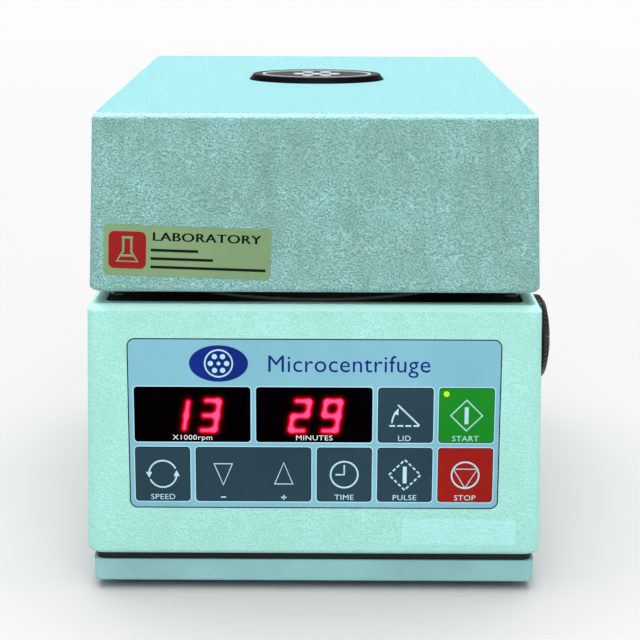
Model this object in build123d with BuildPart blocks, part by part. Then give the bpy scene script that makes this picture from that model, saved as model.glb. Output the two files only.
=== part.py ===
"""Bench microcentrifuge: a drafted two-part casing on a plinth, a tall hinged lid,
an angle rotor in a round bowl, a direct-drive motor and a keypad front.

Frame: origin at the centre of the plinth's underside, +Z up, front towards -Y.
All sizes are in millimetres.
"""
import os
from math import cos, radians, sin, tan

from build123d import *

os.makedirs("parts", exist_ok=True)

# ---------------------------------------------------------------- driving sizes
body_w = 190.0          # casing, left to right, at its lower edge
body_d = 272.0          # casing, front to back, at its lower edge
base_draft = 1.56       # mould draft of the lower casing, degrees
corner_r = 8.0          # casing's upright corners at its lower edge
lid_corner_r = 7.0      # lid's upright corners at its lower edge
wall = 3.0              # casing and lid wall

tray_h = 9.5            # plinth, visible height
tray_inset = 2.75       # plinth set back under the casing
tray_floor = 3.0
tray_edge_r = 0.8       # plinth, lower edge
tray_corner_r = 3.5     # plinth, upright corners
shadow_gap = 3.5        # recessed band between plinth and casing
upstand_gap = 0.7       # locating upstand to the casing's inside
upstand_h = 6.0         # how far the upstand reaches into the casing

shell_h = 106.0         # casing, lower edge to rim
rim_bevel = 2.7
rim_land = 4.5          # flat rim between bevel and deck
deck_drop = 0.8         # deck below the rim
deck_t = 2.0
ledge_w = 6.0           # ledge that carries the deck
ledge_t = 2.0
deck_gap = 0.3

lid_gap = 5.6           # open gap between rim and lid
lid_h = 71.7
lid_draft = 2.46
lid_side_step = 3.95    # lid inside the casing's lower outline, each side
lid_front_step = 1.2
lid_rear_step = 9.0
lid_edge_r = 3.0        # lid, upper edges
lower_edge_r = 2.0      # casing and lid, lower outer edges
liner_gap = 0.5
liner_t = 3.0

bowl_back = 96.0        # rotor axis behind the casing's front
bowl_r = 72.0
bowl_wall = 2.0
bowl_depth = 50.2       # deck surface down to the bowl's floor
bowl_corner_r = 8.0
bowl_lip_w = 7.0
bowl_lip_t = 1.0
bowl_hang_gap = 1.0     # deck opening around the bowl
seal_w = 4.5
seal_h = 2.2
seal_air = 0.2          # closed lid above the relaxed seal
cup_r = 62.0            # hollow in the lid's liner over the rotor
cup_h = 12.0
boss_w = 9.0            # ring under the liner that meets the seal

rotor_r = 64.5
rotor_h = 42.0
rotor_lift = 6.0        # rotor's foot above the bowl's floor
tube_count = 12
tube_hole_r = 5.6
tube_angle = 45.0       # degrees from the rotor's axis
tube_depth = 38.0
tube_foot_r = 58.0      # centre of a tube hole's round end, from the axis
tube_foot_z = 9.0       # and above the rotor's foot
hub_top = 27.0          # clamping face of the rotor's hub, above its foot
spigot_r = 5.0
spigot_gap = 0.03
stud_r = 3.0
stud_h = 12.0
nut_r = 11.0
nut_h = 15.0
shaft_r = 4.0
shaft_gap = 0.03        # shaft to bearing, running
shaft_head_r = 9.5
shaft_head_t = 3.5

motor_r = 38.0
motor_wall = 2.0
motor_z0 = 16.0         # underside of the lower end cap
motor_drop = 4.0        # upper end cap below the bowl
cap_t = 4.0
bearing_r = 11.0
bearing_t = 7.0
bearing_wall = 3.0
stator_in_r = 24.0
air_gap = 0.5
fan_r = 30.0
fan_t = 5.0
bracket_t = 2.5
bracket_r = 52.0
post_ring_r = 46.0
post_r = 5.0
mount_h = 8.0
mount_r = 8.0

panel_w = 151.4         # keypad panel
panel_h = 71.3
panel_r = 3.0
panel_t = 1.6
panel_z = 56.3          # panel centre above the casing's lower edge
panel_gap = 0.4
film_t = 0.6            # switch film under the panel
key_w = 22.7
key_h = 23.4
key_r = 1.4
key_t = 1.1
key_proud = 0.1
key_gap = 0.25
key_pitch_x = 24.9
key_pitch_z = 25.5
key_row_low = -21.4     # lower row's centre, from the panel's centre
window_t = 1.5
dome_r = 4.0
dome_h = 0.2
pad_t = 2.5             # thickening of the front wall behind the panel
digit_w = 25.2          # two-digit display module
digit_h = 19.2
digit_t = 8.0
board_t = 1.6
board_w = 160.0
board_h = 62.0

hinge_r = 3.2
pin_r = 2.0
pin_gap = 0.05
hinge_back = 3.5        # hinge axis behind the lid
hinge_down = 2.1        # and below its lower edge
leaf_t = 2.0
hinge_in = 17.71        # middle of each hinge, in from the side of the deck's opening
knuckle_w = 24.4        # lid knuckle
ear_w = 5.0             # casing ears, one each side of it
ear_gap = 0.3

knob_back = 50.0        # latch knob behind the casing's front
knob_up = 81.0          # and above its lower edge
knob_r = 18.7
knob_t = 7.6
knob_dome = 4.2         # height of the knob's domed face
knob_gap = 0.6
knob_ribs = 30
latch_shaft_r = 3.0
latch_turn = 45.0       # from free to latched, degrees
hook_t = 3.0
striker_w = 9.0

foot_r = 11.0
foot_h = 4.0
foot_seat = 1.0
foot_gap = 0.3
foot_in_x = 25.0        # foot centres in from the casing's outline
foot_in_y = 31.0

# ------------------------------------------------------------------ derived places
draft_run = tan(radians(base_draft))
lid_run = tan(radians(lid_draft))
shell_z = tray_h + shadow_gap
rim_z = shell_z + shell_h
deck_z = rim_z - deck_drop
ledge_z = deck_z - deck_t
lid_z = rim_z + lid_gap
lid_top_z = lid_z + lid_h
front_y = -body_d / 2
top_w = body_w - 2 * shell_h * draft_run
top_d = body_d - 2 * shell_h * draft_run
deck_w = top_w - 2 * (rim_bevel + rim_land)
deck_d = top_d - 2 * (rim_bevel + rim_land)
lid_w = body_w - 2 * lid_side_step
lid_y0 = front_y + lid_front_step
lid_y1 = -front_y - lid_rear_step
lid_d = lid_y1 - lid_y0
lid_mid = (lid_y0 + lid_y1) / 2
bowl_y = front_y + bowl_back
bowl_floor = deck_z - bowl_depth
bowl_out = bowl_r + bowl_wall
lip_z = deck_z + bowl_lip_t
boss_z = lip_z + seal_h + seal_air
rotor_z = bowl_floor + rotor_lift
motor_z1 = bowl_floor - bowl_wall - motor_drop
hinge_x = deck_w / 2 + deck_gap - hinge_in
hinge_y = lid_y1 + hinge_back
hinge_z = lid_z - hinge_down
knob_y = front_y + knob_back
knob_z = shell_z + knob_up
side_x = body_w / 2 - knob_up * draft_run
knob_x = side_x + knob_r * draft_run + knob_gap / 2

axis_plane = Plane((0, bowl_y, 0), x_dir=(1, 0, 0), z_dir=(0, -1, 0))
front_tilt = (0, -cos(radians(base_draft)), sin(radians(base_draft)))
rear_tilt = (0, cos(radians(base_draft)), sin(radians(base_draft)))
front_face = Plane(
    (0, front_y + panel_z * draft_run, shell_z + panel_z), x_dir=(1, 0, 0), z_dir=front_tilt
)
rear_z = 34.0           # middle of the rear fittings above the casing's lower edge
rear_face = Plane(
    (0, -front_y - rear_z * draft_run, shell_z + rear_z), x_dir=(-1, 0, 0), z_dir=rear_tilt
)
knob_plane = Plane((knob_x, knob_y, knob_z), x_dir=(0, 1, 0), z_dir=(1, 0, 0))


def ring(inner, outer, z0, z1):
    """A plain ring about the rotor axis, for use inside a part block."""
    with BuildSketch(Plane((0, bowl_y, z0))) as section:
        Circle(outer)
        if inner > 0:
            Circle(inner, mode=Mode.SUBTRACT)
    return extrude(section.sketch, amount=z1 - z0)


def turned(plane, degrees):
    """The plane turned about its own normal."""
    return Plane(plane.origin, plane.x_dir.rotate(Axis((0, 0, 0), plane.z_dir), degrees), plane.z_dir)


def corners(half_x, half_y):
    """The four places of a rectangle's corners."""
    return [(sx * half_x, sy * half_y) for sx in (-1, 1) for sy in (-1, 1)]


# ------------------------------------------------------------------ plinth and feet
boss_x = body_w / 2 - 12.8
boss_y = body_d / 2 - 13.0
screw_boss_r = 6.0
screw_r = 2.0
screw_head_r = 3.8
foot_places = corners(body_w / 2 - foot_in_x, body_d / 2 - foot_in_y)
boss_places = corners(boss_x, boss_y)
tray_w = body_w - 2 * tray_inset
tray_d = body_d - 2 * tray_inset
upstand_w = body_w - 2 * (wall + upstand_gap)
upstand_d = body_d - 2 * (wall + upstand_gap)
upstand_t = 2.5
slot_count = 9

with BuildPart() as base_tray:
    with BuildSketch(Plane.XY):
        RectangleRounded(tray_w, tray_d, tray_corner_r)
    extrude(amount=tray_h)
    fillet(base_tray.edges().group_by(Axis.Z)[0], tray_edge_r)
    with BuildSketch(Plane.XY.offset(tray_h)):
        RectangleRounded(upstand_w, upstand_d, corner_r - wall - upstand_gap)
    extrude(amount=shadow_gap + upstand_h)
    with BuildSketch(Plane.XY.offset(tray_floor)):
        RectangleRounded(upstand_w - 2 * upstand_t, upstand_d - 2 * upstand_t, 2.0)
    extrude(amount=shell_z + upstand_h, mode=Mode.SUBTRACT)
    with BuildSketch(Plane.XY.offset(tray_floor)):
        with Locations(*boss_places):
            Circle(screw_boss_r)
    extrude(amount=shell_z - tray_floor)
    with BuildSketch(Plane.XY):
        with Locations(*boss_places):
            Circle(screw_head_r + 0.2)
    extrude(amount=tray_floor + 3, mode=Mode.SUBTRACT)
    with BuildSketch(Plane.XY):
        with Locations(*boss_places):
            Circle(screw_r + 0.2)
    extrude(amount=shell_z, mode=Mode.SUBTRACT)
    with BuildSketch(Plane.XY):
        with Locations(*foot_places):
            Circle(foot_r + foot_gap)
    extrude(amount=foot_seat, mode=Mode.SUBTRACT)
    with BuildSketch(Plane.XY):
        with Locations(*foot_places):
            Circle(3.1)
    extrude(amount=tray_floor, mode=Mode.SUBTRACT)
    with BuildSketch(Plane((0, bowl_y, 0))):
        with GridLocations(6.0, 0, slot_count, 1):
            SlotOverall(44.0, 2.6, rotation=90)
    extrude(amount=tray_floor, mode=Mode.SUBTRACT)
base_tray.part.label = "base_tray"
export_step(base_tray.part, "parts/base_tray.step")

with BuildPart() as rubber_feet:
    with BuildSketch(Plane.XY.offset(-foot_h)):
        with Locations(*foot_places):
            Circle(foot_r - 1.0)
    extrude(amount=foot_h, taper=-14)
    with BuildSketch(Plane.XY):
        with Locations(*foot_places):
            Circle(foot_r)
    extrude(amount=foot_seat)
    with BuildSketch(Plane.XY.offset(foot_seat)):
        with Locations(*foot_places):
            Circle(3.0)
    extrude(amount=tray_floor - foot_seat)
rubber_feet.part.label = "rubber_feet"
export_step(rubber_feet.part, "parts/rubber_feet.step")

with BuildPart() as shell_screws:
    with BuildSketch(Plane.XY.offset(tray_floor + 1)):
        with Locations(*boss_places):
            Circle(screw_head_r)
    extrude(amount=2)
    with BuildSketch(Plane.XY.offset(tray_floor + 3)):
        with Locations(*boss_places):
            Circle(screw_r)
    extrude(amount=18)
shell_screws.part.label = "shell_screws"
export_step(shell_screws.part, "parts/shell_screws.step")

# ------------------------------------------------------------------ lower casing
boss_h = 20.0
rib_t = 3.0
rib_l = body_w / 2 - 1.5 - boss_x
rib_places = [(s * (boss_x + rib_l / 2), y) for s in (-1, 1) for y in (-boss_y, boss_y)]
flange_z = ledge_z - ledge_t
knob_bush_r = 6.0
inlet_x = 52.0          # on the rear face, from its middle
switch_x = 14.0
inlet_w = 28.0
inlet_h = 44.0
switch_w = 20.0
switch_h = 27.0
vent_x = -48.0
vent_count = 10
inner_w = body_w - 2 * wall
inner_d = body_d - 2 * wall
row_high = key_row_low + key_pitch_z
column_x = [(i - 2.5) * key_pitch_x for i in range(6)]
window_x = [(column_x[0] + column_x[1]) / 2, (column_x[2] + column_x[3]) / 2]
wide_w = key_w + key_pitch_x
tail_w = 20.0
tail_place = (column_x[3], key_row_low - 9.0)

deck_screw_places = corners(deck_w / 2 - 3.2, deck_d / 2 - 16.0)
foot_plate_t = 1.6
foot_plate_l = 10.0     # hinge foot, front to back
hinge_screw_y = hinge_y - 8.6
hinge_places = [(s * (hinge_x + d), hinge_screw_y) for s in (-1, 1) for d in (-8.0, 8.0)]

with BuildPart() as base_shell:
    with BuildSketch(Plane.XY.offset(shell_z)):
        RectangleRounded(body_w, body_d, corner_r)
    extrude(amount=shell_h, taper=base_draft)
    chamfer(base_shell.edges().group_by(Axis.Z)[-1], rim_bevel)
    fillet(base_shell.edges().group_by(Axis.Z)[0], lower_edge_r)
    with BuildSketch(Plane.XY.offset(shell_z)):
        RectangleRounded(inner_w, inner_d, corner_r - wall)
    extrude(amount=flange_z - shell_z, taper=base_draft, mode=Mode.SUBTRACT)
    with BuildSketch(Plane.XY.offset(ledge_z)):
        RectangleRounded(deck_w + 2 * deck_gap, deck_d + 2 * deck_gap, 3.0 + deck_gap)
    extrude(amount=rim_z - ledge_z, mode=Mode.SUBTRACT)
    with BuildSketch(Plane.XY.offset(flange_z)):
        RectangleRounded(deck_w - 2 * ledge_w, deck_d - 2 * ledge_w, 3.0)
    extrude(amount=ledge_z - flange_z, mode=Mode.SUBTRACT)
    with BuildSketch(Plane.XY.offset(shell_z)):
        with Locations(*boss_places):
            Circle(screw_boss_r)
    extrude(amount=boss_h)
    with BuildSketch(Plane.XY.offset(shell_z + upstand_h + 0.5)):
        with Locations(*rib_places):
            Rectangle(rib_l, rib_t)
    extrude(amount=boss_h - upstand_h - 0.5)
    with BuildSketch(Plane.XY.offset(shell_z)):
        with Locations(*boss_places):
            Circle(screw_r)
    extrude(amount=boss_h - 2, mode=Mode.SUBTRACT)
    with BuildSketch(front_face.offset(-wall - pad_t)):
        RectangleRounded(panel_w + 8, panel_h + 8, 4.0)
    extrude(amount=pad_t + wall / 2)
    with BuildSketch(front_face.offset(-panel_t - film_t)):
        RectangleRounded(panel_w + 2 * panel_gap, panel_h + 2 * panel_gap, panel_r + panel_gap)
    extrude(amount=10, mode=Mode.SUBTRACT)
    with BuildSketch(front_face.offset(-wall - pad_t)):
        with Locations(*[(x, row_high) for x in window_x]):
            Rectangle(digit_w + 1, digit_h + 1)
        with Locations(tail_place):
            Rectangle(tail_w, 2.0)
    extrude(amount=wall + pad_t, mode=Mode.SUBTRACT)
    with BuildSketch(Plane.XY.offset(flange_z)):
        with Locations(*deck_screw_places, *hinge_places):
            Circle(screw_r)
    extrude(amount=ledge_t, mode=Mode.SUBTRACT)
    with BuildSketch(Plane((side_x - 12, knob_y, knob_z), x_dir=(0, 1, 0), z_dir=(1, 0, 0))):
        Circle(knob_bush_r)
    extrude(amount=24, mode=Mode.SUBTRACT)
    with BuildSketch(rear_face.offset(-10)):
        with Locations((inlet_x, 0)):
            Rectangle(inlet_w + 0.4, inlet_h + 0.4)
        with Locations((switch_x, 0)):
            Rectangle(switch_w + 0.4, switch_h + 0.4)
        with Locations((vent_x, 0)):
            with GridLocations(6.0, 0, vent_count, 1):
                SlotOverall(40.0, 2.8, rotation=90)
    extrude(amount=20, mode=Mode.SUBTRACT)
base_shell.part.label = "base_shell"
export_step(base_shell.part, "parts/base_shell.step")

# ------------------------------------------------------------------ deck and bowl
slot_x1 = deck_w / 2 - ledge_w - 0.1
slot_x0 = slot_x1 - 11.8
striker_x = (slot_x0 + slot_x1) / 2 + 0.1
pin_back = 8.0          # striker's pin ahead of the latch shaft
pin_up = 13.0
striker_y = knob_y - pin_back
slot_l = 16.0

with BuildPart() as deck_plate:
    with BuildSketch(Plane.XY.offset(ledge_z)):
        RectangleRounded(deck_w, deck_d, 3.0)
        with Locations((0, bowl_y)):
            Circle(bowl_out + bowl_hang_gap, mode=Mode.SUBTRACT)
        with Locations(((slot_x0 + slot_x1) / 2, striker_y)):
            RectangleRounded(slot_x1 - slot_x0, slot_l, 2.0, mode=Mode.SUBTRACT)
        with Locations(*deck_screw_places):
            Circle(screw_r + 0.2, mode=Mode.SUBTRACT)
        with Locations(*hinge_places):
            Circle(screw_r + 0.2, mode=Mode.SUBTRACT)
    extrude(amount=deck_t)
deck_plate.part.label = "deck_plate"
export_step(deck_plate.part, "parts/deck_plate.step")

with BuildPart() as bowl:
    with BuildSketch(axis_plane):
        with BuildLine():
            Polyline(
                (15.0, bowl_floor - bowl_wall),
                (bowl_out, bowl_floor - bowl_wall),
                (bowl_out, deck_z),
                (bowl_out + bowl_lip_w, deck_z),
                (bowl_out + bowl_lip_w, lip_z),
                (bowl_r, lip_z),
                (bowl_r, bowl_floor),
                (15.0, bowl_floor),
                close=True,
            )
        make_face()
    revolve(axis=Axis((0, bowl_y, 0), (0, 0, 1)))
    round_edges = bowl.edges().filter_by(GeomType.CIRCLE)
    inner_foot = round_edges.filter_by(lambda e: abs(e.radius - bowl_r) < 0.01).sort_by(Axis.Z)[0]
    outer_foot = round_edges.filter_by(lambda e: abs(e.radius - bowl_out) < 0.01).sort_by(Axis.Z)[0]
    fillet(inner_foot, bowl_corner_r)
    fillet(outer_foot, bowl_corner_r + bowl_wall)
bowl.part.label = "bowl"
export_step(bowl.part, "parts/bowl.step")

seal_r0 = bowl_out + 1.0
with BuildPart() as bowl_seal:
    ring(seal_r0, seal_r0 + seal_w, lip_z, lip_z + seal_h)
    fillet(bowl_seal.edges().group_by(Axis.Z)[-1], 1.6)
bowl_seal.part.label = "bowl_seal"
export_step(bowl_seal.part, "parts/bowl_seal.step")

boot_flange_t = 1.5
boot_r = 14.9
with BuildPart() as shaft_boot:
    ring(10.5, 22.0, motor_z1 + bracket_t, bowl_floor - bowl_wall)
    ring(10.5, boot_r, bowl_floor - bowl_wall, bowl_floor + 1.5)
shaft_boot.part.label = "shaft_boot"
export_step(shaft_boot.part, "parts/shaft_boot.step")

# ------------------------------------------------------------------ motor and rotor
upper_bearing_z = motor_z1 - cap_t - bearing_t
lower_bearing_z = motor_z0 + cap_t
can_z0 = motor_z0 + cap_t
can_z1 = motor_z1 - cap_t
cap_boss_r = bearing_r + bearing_wall
core_z0 = lower_bearing_z + bearing_t + 3
core_z1 = upper_bearing_z - 3

with BuildPart() as motor_can:
    ring(motor_r - motor_wall, motor_r, can_z0, can_z1)
motor_can.part.label = "motor_can"
export_step(motor_can.part, "parts/motor_can.step")

with BuildPart() as motor_end_caps:
    ring(shaft_r + 2, motor_r, motor_z0, can_z0)
    ring(bearing_r, cap_boss_r, can_z0, can_z0 + bearing_t)
    ring(shaft_r + 2, motor_r, can_z1, motor_z1)
    ring(bearing_r, cap_boss_r, can_z1 - bearing_t, can_z1)
motor_end_caps.part.label = "motor_end_caps"
export_step(motor_end_caps.part, "parts/motor_end_caps.step")

with BuildPart() as motor_bearings:
    ring(shaft_r + shaft_gap, bearing_r, lower_bearing_z, lower_bearing_z + bearing_t)
    ring(shaft_r + shaft_gap, bearing_r, upper_bearing_z, upper_bearing_z + bearing_t)
motor_bearings.part.label = "motor_bearings"
export_step(motor_bearings.part, "parts/motor_bearings.step")

with BuildPart() as stator:
    ring(stator_in_r, motor_r - motor_wall, core_z0, core_z1)
stator.part.label = "stator"
export_step(stator.part, "parts/stator.step")

with BuildPart() as armature:
    ring(shaft_r, stator_in_r - air_gap, core_z0, core_z1)
armature.part.label = "armature"
export_step(armature.part, "parts/armature.step")

post_angles = [90, 210, 330]
with BuildPart() as motor_bracket:
    ring(16.0, bracket_r, motor_z1, motor_z1 + bracket_t)
    with BuildSketch(Plane((0, bowl_y, tray_floor + mount_h))):
        for angle in post_angles:
            with PolarLocations(post_ring_r, 1, start_angle=angle):
                Circle(post_r)
    extrude(amount=motor_z1 - tray_floor - mount_h)
motor_bracket.part.label = "motor_bracket"
export_step(motor_bracket.part, "parts/motor_bracket.step")

with BuildPart() as motor_mounts:
    with BuildSketch(Plane((0, bowl_y, tray_floor))):
        for angle in post_angles:
            with PolarLocations(post_ring_r, 1, start_angle=angle):
                Circle(mount_r)
    extrude(amount=mount_h)
motor_mounts.part.label = "motor_mounts"
export_step(motor_mounts.part, "parts/motor_mounts.step")

fan_z = motor_z0 - 2.0 - fan_t
fan_blades = 9
fan_hub_r = 9.0
blade_in = 8.0          # blades start inside the hub
with BuildPart() as motor_fan:
    ring(shaft_r, fan_hub_r, fan_z, fan_z + fan_t)
    ring(shaft_r, fan_r, fan_z + fan_t - 1.2, fan_z + fan_t)
    with BuildSketch(Plane((0, bowl_y, fan_z))):
        with PolarLocations((blade_in + fan_r - 1.0) / 2, fan_blades):
            Rectangle(fan_r - 1.0 - blade_in, 1.6)
    extrude(amount=fan_t - 1.0)
motor_fan.part.label = "motor_fan"
export_step(motor_fan.part, "parts/motor_fan.step")

with BuildPart() as drive_shaft:
    ring(0, shaft_r, fan_z, rotor_z - shaft_head_t)
    ring(0, shaft_head_r, rotor_z - shaft_head_t, rotor_z)
    ring(0, spigot_r, rotor_z, rotor_z + hub_top)
    ring(0, stud_r, rotor_z + hub_top, rotor_z + hub_top + stud_h)
    chamfer(drive_shaft.edges().group_by(Axis.Z)[-1], 0.6)
drive_shaft.part.label = "drive_shaft"
export_step(drive_shaft.part, "parts/drive_shaft.step")

rim_r = 40.0            # rotor's upper edge
dish_r = 22.0           # foot of the sloping dish
dish_top = rotor_h
dish_out = dish_r + (dish_top - hub_top)
lean = radians(tube_angle)
tube_turns = [radians(360 / tube_count * (i + 0.5)) for i in range(tube_count)]
tube_planes = [
    Plane(
        (tube_foot_r * cos(a), bowl_y + tube_foot_r * sin(a), rotor_z + tube_foot_z),
        z_dir=(-sin(lean) * cos(a), -sin(lean) * sin(a), cos(lean)),
    )
    for a in tube_turns
]
with BuildPart() as rotor:
    with BuildSketch(axis_plane):
        with BuildLine():
            Polyline(
                (spigot_r + spigot_gap, rotor_z),
                (14.0, rotor_z),
                (14.0, rotor_z + 12.0),
                (38.0, rotor_z + 12.0),
                (40.0, rotor_z),
                (rotor_r - 6.5, rotor_z),
                (rotor_r, rotor_z + 6.5),
                (rotor_r, rotor_z + 16.0),
                (rim_r, rotor_z + rotor_h),
                (dish_out, rotor_z + rotor_h),
                (dish_r, rotor_z + hub_top),
                (spigot_r + spigot_gap, rotor_z + hub_top),
                close=True,
            )
        make_face()
    revolve(axis=Axis((0, bowl_y, 0), (0, 0, 1)))
    for tube_plane in tube_planes:
        with BuildSketch(tube_plane):
            Circle(tube_hole_r)
        extrude(amount=tube_depth + 12.0, mode=Mode.SUBTRACT)
        with Locations(tube_plane.origin):
            Sphere(tube_hole_r, mode=Mode.SUBTRACT)
    for i in range(tube_count // 2):
        between = radians(360 / tube_count * i)
        split(bisect_by=Plane((0, bowl_y, 0), z_dir=(-sin(between), cos(between), 0)), keep=Keep.BOTH)
rotor.part.label = "rotor"
export_step(rotor.part, "parts/rotor.step")

nut_gap = 0.05
nut_z = rotor_z + hub_top
nut_ribs = 24
with BuildPart() as rotor_nut:
    ring(0, nut_r, nut_z, nut_z + nut_h)
    chamfer(rotor_nut.edges().group_by(Axis.Z)[-1], 1.2)
    with BuildSketch(Plane((0, bowl_y, nut_z + 4.0))):
        with PolarLocations(nut_r, nut_ribs):
            Rectangle(0.9, 1.2)
    extrude(amount=nut_h, mode=Mode.SUBTRACT)
    with BuildSketch(Plane((0, bowl_y, nut_z))):
        Circle(stud_r + nut_gap)
    extrude(amount=stud_h + 0.5, mode=Mode.SUBTRACT)
rotor_nut.part.label = "rotor_nut"
export_step(rotor_nut.part, "parts/rotor_nut.step")

# ------------------------------------------------------------------ keypad panel
key_places = {
    "speed_key": (column_x[0], key_row_low, key_w),
    "adjust_key": ((column_x[1] + column_x[2]) / 2, key_row_low, wide_w),
    "time_key": (column_x[3], key_row_low, key_w),
    "pulse_key": (column_x[4], key_row_low, key_w),
    "stop_key": (column_x[5], key_row_low, key_w),
    "lid_key": (column_x[4], row_high, key_w),
    "start_key": (column_x[5], row_high, key_w),
}
dome_places = [(x, key_row_low) for x in column_x] + [(x, row_high) for x in column_x[4:]]
film_face = front_face.offset(-panel_t - film_t)
led_place = (column_x[5] - key_w / 2 + 3.0, row_high + key_h / 2 - 2.6)
led_r = 1.2

with BuildPart() as front_fascia:
    with BuildSketch(front_face.offset(-panel_t)):
        RectangleRounded(panel_w, panel_h, panel_r)
        for key_x, key_v, width in key_places.values():
            with Locations((key_x, key_v)):
                RectangleRounded(width, key_h, key_r, mode=Mode.SUBTRACT)
        with Locations(*[(x, row_high) for x in window_x]):
            RectangleRounded(wide_w, key_h, key_r, mode=Mode.SUBTRACT)
    extrude(amount=panel_t)
front_fascia.part.label = "front_fascia"
export_step(front_fascia.part, "parts/front_fascia.step")

with BuildPart() as switch_film:
    with BuildSketch(film_face):
        RectangleRounded(panel_w, panel_h, panel_r)
        with Locations(*[(x, row_high) for x in window_x]):
            Rectangle(digit_w + 1, digit_h + 1, mode=Mode.SUBTRACT)
    extrude(amount=film_t)
    with BuildSketch(front_face.offset(-panel_t)):
        with Locations(*dome_places):
            Circle(dome_r)
    extrude(amount=dome_h)
    with BuildSketch(film_face):
        with Locations(tail_place):
            Rectangle(tail_w - 1, 0.5)
    extrude(amount=-(wall + pad_t - panel_t - film_t + 3.0))
switch_film.part.label = "switch_film"
export_step(switch_film.part, "parts/switch_film.step")

for name, x in zip(["speed_window", "time_window"], window_x):
    with BuildPart() as window:
        with BuildSketch(front_face.offset(-panel_t)):
            with Locations((x, row_high)):
                RectangleRounded(wide_w - 0.1, key_h - 0.1, key_r)
        extrude(amount=window_t)
    window.part.label = name
    export_step(window.part, f"parts/{name}.step")

for name, x in zip(["speed_display", "time_display"], window_x):
    with BuildPart() as display:
        with BuildSketch(front_face.offset(-panel_t - 0.3 - digit_t)):
            with Locations((x, row_high)):
                Rectangle(digit_w, digit_h)
        extrude(amount=digit_t)
    display.part.label = name
    export_step(display.part, f"parts/{name}.step")

for name, (key_x, key_v, width) in key_places.items():
    with BuildPart() as key:
        with BuildSketch(front_face.offset(key_proud - key_t)):
            with Locations((key_x, key_v)):
                RectangleRounded(width - 2 * key_gap, key_h - 2 * key_gap, key_r)
            if name == "start_key":
                with Locations(led_place):
                    Circle(led_r, mode=Mode.SUBTRACT)
        extrude(amount=key_t)
    key.part.label = name
    export_step(key.part, f"parts/{name}.step")

with BuildPart() as start_led:
    with BuildSketch(front_face.offset(key_proud - key_t)):
        with Locations(led_place):
            Circle(led_r)
    extrude(amount=key_t + 0.15)
start_led.part.label = "start_led"
export_step(start_led.part, "parts/start_led.step")

board_back = panel_t + 0.3 + digit_t
standoff_x = panel_w / 2 + 1.0
standoff_v = board_h / 2 - 4.0
standoff_r = 2.6
with BuildPart() as front_board:
    with BuildSketch(front_face.offset(-board_back - board_t)):
        Rectangle(board_w, board_h)
        with Locations(*corners(standoff_x, standoff_v)):
            Circle(1.6, mode=Mode.SUBTRACT)
    extrude(amount=board_t)
    with BuildSketch(front_face.offset(-board_back - board_t)):
        with Locations((-40, -16), (10, 8), (46, -14)):
            Rectangle(14, 7)
    extrude(amount=-2.5)
front_board.part.label = "front_board"
export_step(front_board.part, "parts/front_board.step")

with BuildPart() as board_standoffs:
    with BuildSketch(front_face.offset(-board_back)):
        with Locations(*corners(standoff_x, standoff_v)):
            Circle(standoff_r)
    extrude(amount=board_back - wall - pad_t)
    with BuildSketch(front_face.offset(-board_back - board_t)):
        with Locations(*corners(standoff_x, standoff_v)):
            Circle(1.5)
    extrude(amount=board_t)
    with BuildSketch(front_face.offset(-board_back - board_t)):
        with Locations(*corners(standoff_x, standoff_v)):
            Circle(2.6)
    extrude(amount=-1.6)
board_standoffs.part.label = "board_standoffs"
export_step(board_standoffs.part, "parts/board_standoffs.step")

# ------------------------------------------------------------------ lid
lid_inner_w = lid_w - 2 * wall
lid_inner_d = lid_d - 2 * wall
lid_boss_r = 5.0
lid_boss_places = corners(lid_inner_w / 2 - 10.0, lid_inner_d / 2 - 22.0)
lid_plane = Plane((0, lid_mid, lid_z))
liner_w = lid_inner_w - 2 * liner_gap
liner_d = lid_inner_d - 2 * liner_gap

with BuildPart() as lid_shell:
    with BuildSketch(lid_plane):
        RectangleRounded(lid_w, lid_d, lid_corner_r)
    extrude(amount=lid_h, taper=lid_draft)
    fillet(lid_shell.edges().group_by(Axis.Z)[-1], lid_edge_r)
    fillet(lid_shell.edges().group_by(Axis.Z)[0], lower_edge_r)
    with BuildSketch(lid_plane):
        RectangleRounded(lid_inner_w, lid_inner_d, lid_corner_r - wall)
    extrude(amount=lid_h - wall, taper=lid_draft, mode=Mode.SUBTRACT)
    with BuildSketch(lid_plane.offset(liner_t)):
        with Locations(*lid_boss_places):
            Circle(lid_boss_r)
    extrude(amount=lid_h - liner_t - 1)
    with BuildSketch(lid_plane.offset(liner_t)):
        with Locations(*lid_boss_places):
            Circle(1.5)
    extrude(amount=12, mode=Mode.SUBTRACT)
lid_shell.part.label = "lid_shell"
export_step(lid_shell.part, "parts/lid_shell.step")

cup_wall = 2.0
boss_r0 = seal_r0 + seal_w + 0.5 - boss_w
with BuildPart() as lid_liner:
    with BuildSketch(lid_plane):
        RectangleRounded(liner_w, liner_d, lid_corner_r - wall - liner_gap)
        with Locations(*lid_boss_places):
            Circle(1.7, mode=Mode.SUBTRACT)
    extrude(amount=liner_t)
    ring(0, cup_r + cup_wall, lid_z, lid_z + cup_h + cup_wall)
    ring(boss_r0, boss_r0 + boss_w, boss_z, lid_z)
    with BuildSketch(Plane((0, bowl_y, lid_z))):
        Circle(cup_r)
    extrude(amount=cup_h, mode=Mode.SUBTRACT)
lid_liner.part.label = "lid_liner"
export_step(lid_liner.part, "parts/lid_liner.step")

with BuildPart() as liner_screws:
    with BuildSketch(lid_plane.offset(-1.6)):
        with Locations(*lid_boss_places):
            Circle(2.8)
    extrude(amount=1.6)
    with BuildSketch(lid_plane):
        with Locations(*lid_boss_places):
            Circle(1.5)
    extrude(amount=liner_t + 10)
liner_screws.part.label = "liner_screws"
export_step(liner_screws.part, "parts/liner_screws.step")

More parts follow.
